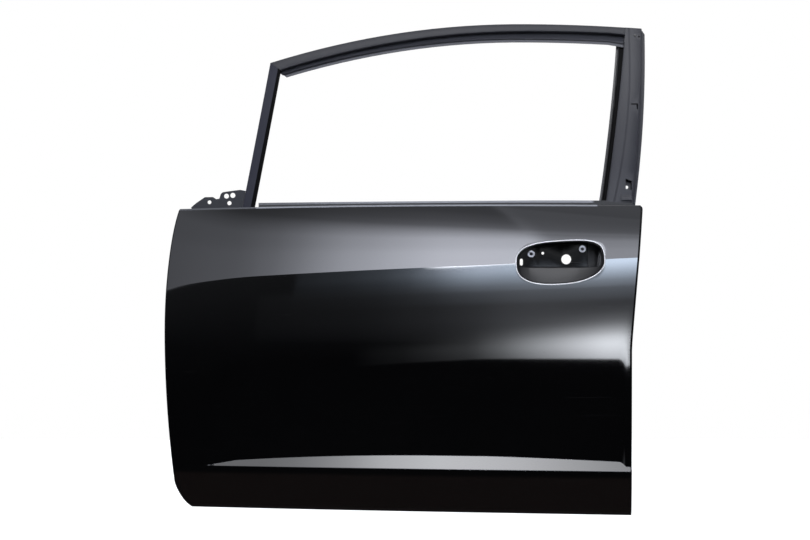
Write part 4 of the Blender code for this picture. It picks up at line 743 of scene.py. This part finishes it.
# Painted light: the inner leg is given a paler grey, standing in for the light that reaches it.
LEG_PAINTED_LIGHT_GREY = (0.07, 0.072, 0.086)
leg_painted_light = primer("leg_painted_light", LEG_PAINTED_LIGHT_GREY, 0.5, dust=0.03, settled=0.1, rubs=0.3, lustre=0.6)
dress("header_sash", frame_primer)
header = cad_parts["header_sash"]
header.data.materials.append(leg_painted_light)
for polygon in header.data.polygons:
    x, y, z = polygon.center / MM
    if polygon.normal.y < FACING_OUT and y - plan_y(x) - FRAME_LEAN * z > LEG_SPLIT_Y:
        polygon.material_index = 1

# The mirror's bracket, a pressed steel plate welded into the corner of the front upright
# and the belt, with four holes for bolts. It has the header's primer.
dress("mirror_bracket", frame_primer)

# The rear upright's wide pressed plate, with its closing plate and its foot. They are spot
# welded to one another and carry a little more sheen than the rails.
PILLAR_BLACK = (0.010, 0.011, 0.018)
pillar_primer = primer("pillar_primer", PILLAR_BLACK, 0.42, dust=0.05, settled=0.1, rubs=0.3, lustre=0.42)
dress("b_pillar", pillar_primer)

# The rear glass run, a deep roll-formed channel that is open to the front. Its inner leg is painted
# near black with almost no sheen, as painted shade for the shadow it lies in.
LIP_FOOT_X, LIP_FOOT_Z, LIP_RAKE, LIP_BOW = 1005.0, 169.0, 0.1575, -4.0e-5
RUN_SHADE_FROM, RUN_SHADE_TO = -8.5, 27.0
RUN_BLACK = (0.003, 0.003, 0.0033)
run_primer = primer("run_primer", RUN_BLACK, 0.36, dust=0.02, settled=0.05, rubs=0.3)
SHADOW_BLACK = (0.0006, 0.0006, 0.0007)
run_shadow = primer("run_shadow", SHADOW_BLACK, 0.5, dust=0.0, settled=0.0, rubs=0.0, lustre=0.06)


def lip_x(z):
    rise = z - LIP_FOOT_Z
    return LIP_FOOT_X + LIP_RAKE * rise + LIP_BOW * max(0.0, rise) ** 2


dress("rear_sash", run_primer)
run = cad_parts["rear_sash"]
# The inner leg's near-black, sheenless primer is painted shade.
run.data.materials.append(run_shadow)
for polygon in run.data.polygons:
    x, z = polygon.center.x / MM, polygon.center.z / MM
    if RUN_SHADE_FROM < x - lip_x(z) < RUN_SHADE_TO:
        polygon.material_index = 1

# The belt's outer rail, folded from thick sheet and clamped by the skin's top fold. Its upper
# edge shows over the skin as a thin strip, with a pale band painted along it as its highlight.
STRIP_HIGHLIGHT_MASK = {
    "Peak X": 850.0, "Peak Z": 150.2, "Crown": 1.25e-5, "Edge Low": -5.6, "Edge High": -4.6,
    "Front From": 200.0, "Front To": 520.0, "Thin": 0.3, "Full": 0.85,
    "Rear From": 966.0, "Rear To": 976.0, "Rear Share": 1.0,
}
PAINTED_STRIP_HIGHLIGHT = (0.36, 0.37, 0.4)
STRIP_BLACK = (0.006, 0.006, 0.007)
strip_primer = primer("strip_primer", STRIP_BLACK, 0.42, dust=0.04, settled=0.05, rubs=0.3, lustre=0.35)
# The pale band along the strip's top edge is a painted highlight.
overlay_band(strip_primer, placed_group(strip_primer.node_tree, BELT_HIGHLIGHT_BAND, STRIP_HIGHLIGHT_MASK), PAINTED_STRIP_HIGHLIGHT, 0.1)
dress("outer_belt_reinforcement", strip_primer)

# The pads between the impact beam and the skin, pale mastic that is squeezed on and stays
# soft, so that the skin doesn't drum.
MASTIC_GREY = (0.12, 0.12, 0.118)
mastic = primer("mastic", MASTIC_GREY, 0.7, dust=0.1, settled=0.2, rubs=0.0, grain_mm=0.05)
dress("skin_pad", mastic)

# The inner panel and all that is welded to it: hinge, check and latch plates, beam, rails, glass channels and
# the pull handle's bracket. They are pressed steel under the duller primer of the door's inside.
INNER_BLACK = (0.012, 0.012, 0.013)
inner_primer = primer("inner_primer", INNER_BLACK, 0.38, dust=0.08, settled=0.15, rubs=0.3)
dress("", inner_primer)

# The studio: a pale floor under the hanging shell, a white surround, and softboxes far in
# front. The widest stands above the camera, a bluer shelf of light lies under it, a low
# strip ends at its right foot, and one is overhead.
LAMP_DISTANCE_M = 100.0
EDGE_DEG = 0.03
HALF_SPAN = 0.54  # a little over one half, so that the graded edges fit on the lamp
LUMINANCE = (0.2126, 0.7152, 0.0722)


def graded(tree, angle, stops):
    """A level read off an angle in degrees: straight between its (angle, level) stops, dark outside them."""
    low, high = stops[0][0] - EDGE_DEG, stops[-1][0] + EDGE_DEG
    share = math_node(tree, "DIVIDE", math_node(tree, "SUBTRACT", angle, low), high - low)
    ramp = tree.nodes.new("ShaderNodeValToRGB")
    tree.links.new(share, ramp.inputs["Fac"])
    elements = ramp.color_ramp.elements
    ends = [(low, 0.0)] + list(stops) + [(high, 0.0)]
    elements[0].position, elements[1].position = 0.0, 1.0
    for element in elements:
        element.color = (0.0, 0.0, 0.0, 1.0)
    for spot, level in ends[1:-1]:
        element = elements.new((spot - low) / (high - low))
        element.color = (level, level, level, 1.0)
    return ramp.outputs["Color"]


def in_degrees(tree, operation, a, b):
    return math_node(tree, "MULTIPLY", math_node(tree, operation, a, b), math.degrees(1.0))


def ways_out(tree, place):
    """Azimuth from straight ahead and elevation, in degrees, of a vector that leaves the door."""
    normal = tree.nodes.new("ShaderNodeVectorMath")
    normal.operation = "NORMALIZE"
    split = tree.nodes.new("ShaderNodeSeparateXYZ")
    tree.links.new(place, normal.inputs[0])
    tree.links.new(normal.outputs[0], split.inputs[0])
    forward = math_node(tree, "MULTIPLY", split.outputs["Y"], -1.0)
    azimuth = in_degrees(tree, "ARCTAN2", split.outputs["X"], forward)
    return azimuth, in_degrees(tree, "ARCSINE", split.outputs["Z"], 0.0)


def softbox(name, radiance, tint, azimuths, elevations, slant=0.0):
    """A softbox that fills the angles its stops span, seen from the door, and is graded by them.

    A slant tips it: its elevations rise by that share of the azimuth.
    """
    ends = [slant * azimuths[0][0], slant * azimuths[-1][0]]
    bottom, top = elevations[0][0] + min(ends), elevations[-1][0] + max(ends)
    turn = math.radians(azimuths[0][0] + azimuths[-1][0]) / 2
    lift = math.radians(bottom + top) / 2
    wide = math.radians(azimuths[-1][0] - azimuths[0][0]) * HALF_SPAN
    high = math.radians(top - bottom) * HALF_SPAN
    data = bpy.data.lights.new(name, "AREA")
    data.shape = "RECTANGLE"
    data.size, data.size_y = 2 * LAMP_DISTANCE_M * math.tan(wide), 2 * LAMP_DISTANCE_M * math.tan(high)
    data.energy = math.pi * data.size * data.size_y * radiance
    brightness = sum(share * part for share, part in zip(LUMINANCE, tint))
    data.use_nodes = True
    tree = data.node_tree
    place = tree.nodes.new("ShaderNodeNewGeometry")
    away = tree.nodes.new("ShaderNodeVectorMath")
    away.operation = "SUBTRACT"
    away.inputs[1].default_value = VIEW_CENTRE
    tree.links.new(place.outputs["Position"], away.inputs[0])
    azimuth, elevation = ways_out(tree, away.outputs[0])
    tipped = math_node(tree, "SUBTRACT", elevation, math_node(tree, "MULTIPLY", azimuth, slant))
    level = math_node(tree, "MULTIPLY", graded(tree, azimuth, azimuths), graded(tree, tipped, elevations))
    glow = tree.nodes["Emission"]
    glow.inputs["Color"].default_value = (*[part / brightness for part in tint], 1.0)
    tree.links.new(level, glow.inputs["Strength"])
    lamp = bpy.data.objects.new(name, data)
    way = Vector((math.sin(turn) * math.cos(lift), -math.cos(turn) * math.cos(lift), math.sin(lift)))
    lamp.location = VIEW_CENTRE + way * LAMP_DISTANCE_M
    lamp.rotation_euler = (-way).to_track_quat("-Z", "Y").to_euler()
    lamp.visible_camera = False
    bpy.context.scene.collection.objects.link(lamp)


softbox(
    "wide_softbox", 12.0, (0.86, 0.89, 1.0),
    ((-21, 0.1), (-14.1, 0.15), (-12.6, 0.18), (-11.2, 0.225), (-9.7, 0.32), (-8.2, 0.45), (-6.7, 0.575),
     (-5.2, 0.66), (-3.8, 0.76), (-2.3, 0.86), (-0.8, 0.96), (0.7, 1.0), (2.9, 1.0), (3.5, 0.5), (8, 0.5)),
    ((9.5, 1.0), (17.5, 1.0), (19.5, 0.97), (21, 0.87), (23.5, 0.79), (25.4, 0.52), (27.5, 0.175),
     (29.3, 0.1), (32.1, 0.05), (34.7, 0.04)),
)
softbox("right_fill", 0.85, (0.86, 0.89, 1.0), ((2.9, 1.0), (9, 1.0)), ((26, 0.8), (29, 1.0), (43, 1.0)))
softbox(
    "crease_glint", 45.0, (0.9, 0.93, 1.0),
    ((-1.5, 0.0), (0.2, 1.0), (3.2, 1.0), (4.5, 0.2)), ((8.0, 1.0), (9.4, 1.0)),
)
softbox(
    "blue_shelf", 17.4, (0.7, 0.82, 1.0),
    ((-9, 0.01), (-6, 0.025), (-3.8, 0.05), (-2.3, 0.092), (-0.8, 0.195), (0.7, 0.395), (2, 0.53),
     (2.7, 0.58), (5.5, 1.0), (8, 1.0)),
    ((3, 0.0), (3.5, 0.03), (4.4, 0.07), (5.3, 0.23), (6.2, 0.58), (7.2, 1.0), (9.5, 1.0)),
)
softbox(
    "low_haze", 1.2, (0.86, 0.9, 1.0),
    ((-11, 0.03), (-6.7, 0.07), (-5.2, 0.09), (-3.75, 0.13), (-2.25, 0.21), (-0.8, 0.28), (0.7, 0.42),
     (2, 0.56), (2.7, 0.85), (3.4, 1.0), (4.1, 1.0), (5.5, 0.9), (8, 0.8)),
    ((-1.6, 0.0), (-1.2, 0.25), (-0.2, 0.58), (0.8, 0.75), (1.2, 0.83), (3, 0.83), (3.9, 0.88), (4.8, 1.0),
     (5.5, 0.67), (6.2, 0.0)),
)
softbox(
    "low_strip", 21.0, (0.9, 0.94, 1.0),
    ((-5.2, 0.0), (-3.8, 0.004), (-2.3, 0.0075), (-0.8, 0.017), (0.7, 0.032), (1.4, 0.04), (2, 0.055),
     (2.7, 0.14), (3.4, 0.29), (4.1, 0.46), (4.8, 0.68), (5.5, 0.93), (6.2, 1)),
    ((-4.8, 0.62), (-4.3, 0.7), (-3.7, 0.8), (-2.9, 0.92), (-2.5, 0.9), (-1.96, 0.74), (-1.4, 0.46),
     (-1.0, 0.31), (-0.5, 0.16), (0, 0.075), (0.8, 0.02), (1.5, 0.0)),
    slant=0.18,
)
softbox(
    "overhead_softbox", 11.5, (0.95, 0.96, 1.0),
    ((-34, 0.12), (-20, 0.19), (-14.8, 0.21), (-12, 0.27), (-9.4, 0.38), (-6.8, 0.54), (-4, 0.78), (1.3, 1.0),
     (5, 0.95), (7, 0.85), (9, 0.68), (12, 0.45), (24, 0.36)),
    ((44, 0.1), (50, 1.0), (64, 1.0), (70, 0.1)),
)

FRONT_SKY = (
    (-90, 0.3), (-30, 0.1), (-22, 0.03), (-4, 0.02), (0, 0.06), (6, 0.12), (10, 0.15), (20, 0.15), (35, 0.4),
    (60, 1.0), (90, 1.0),
)
FRONT_ENDS_Y, BACK_STARTS_Y, BACK_SKY = -0.75, -0.35, 0.9
SKY_TINT, WHITE = (0.9, 0.93, 1.0, 1.0), (1.0, 1.0, 1.0, 1.0)


def build_surround():
    """White to the camera; to everything else, pale behind the door and dark low down in front of it."""
    world = bpy.data.worlds.new("surround")
    bpy.context.scene.world = world
    world.use_nodes = True
    tree = world.node_tree
    sky = tree.nodes["Background"]
    place = tree.nodes.new("ShaderNodeTexCoord")
    split = tree.nodes.new("ShaderNodeSeparateXYZ")
    tree.links.new(place.outputs["Generated"], split.inputs[0])
    _, elevation = ways_out(tree, place.outputs["Generated"])
    behind = range_node(tree, split.outputs["Y"], FRONT_ENDS_Y, BACK_STARTS_Y)
    level = tree.nodes.new("ShaderNodeMix")
    tree.links.new(behind, level.inputs["Factor"])
    tree.links.new(graded(tree, elevation, FRONT_SKY), level.inputs["A"])
    level.inputs["B"].default_value = BACK_SKY
    rays = tree.nodes.new("ShaderNodeLightPath")
    seen = tree.nodes.new("ShaderNodeMix")
    tree.links.new(rays.outputs["Is Camera Ray"], seen.inputs["Factor"])
    tree.links.new(level.outputs["Result"], seen.inputs["A"])
    seen.inputs["B"].default_value = 1.0
    tree.links.new(seen.outputs["Result"], sky.inputs["Strength"])
    tree.links.new(color_blend(tree, rays.outputs["Is Camera Ray"], SKY_TINT, WHITE), sky.inputs["Color"])


build_surround()

# The floor, pale card that runs off behind the shell. It is lit a little towards the camera alone, so that it
# melts into the white surround and still keeps the shell's soft shadow.
FLOOR_Z_M = -0.88
FLOOR_CORNERS = [(-5000, -350, 0), (6000, -350, 0), (6000, 6000, 0), (-5000, 6000, 0)]
FLOOR_GLOW = 0.4
FLOOR_PALE = (0.86, 0.86, 0.86, 1.0)
floor = object_from("floor", FLOOR_CORNERS, [(0, 1, 2, 3)])
floor.location.z = FLOOR_Z_M
floor_paint = bpy.data.materials.new("floor_paint")
floor_paint.use_nodes = True
floor_tree = floor_paint.node_tree
floor_shader = floor_tree.nodes["Principled BSDF"]
floor_shader.inputs["Base Color"].default_value = FLOOR_PALE
floor_shader.inputs["Roughness"].default_value = 0.9
floor_shader.inputs["Emission Color"].default_value = WHITE
floor_rays = floor_tree.nodes.new("ShaderNodeLightPath")
glow = math_node(floor_tree, "MULTIPLY", floor_rays.outputs["Is Camera Ray"], FLOOR_GLOW)
floor_tree.links.new(glow, floor_shader.inputs["Emission Strength"])
floor.data.materials.append(floor_paint)

bpy.context.scene.view_settings.view_transform = "Standard"
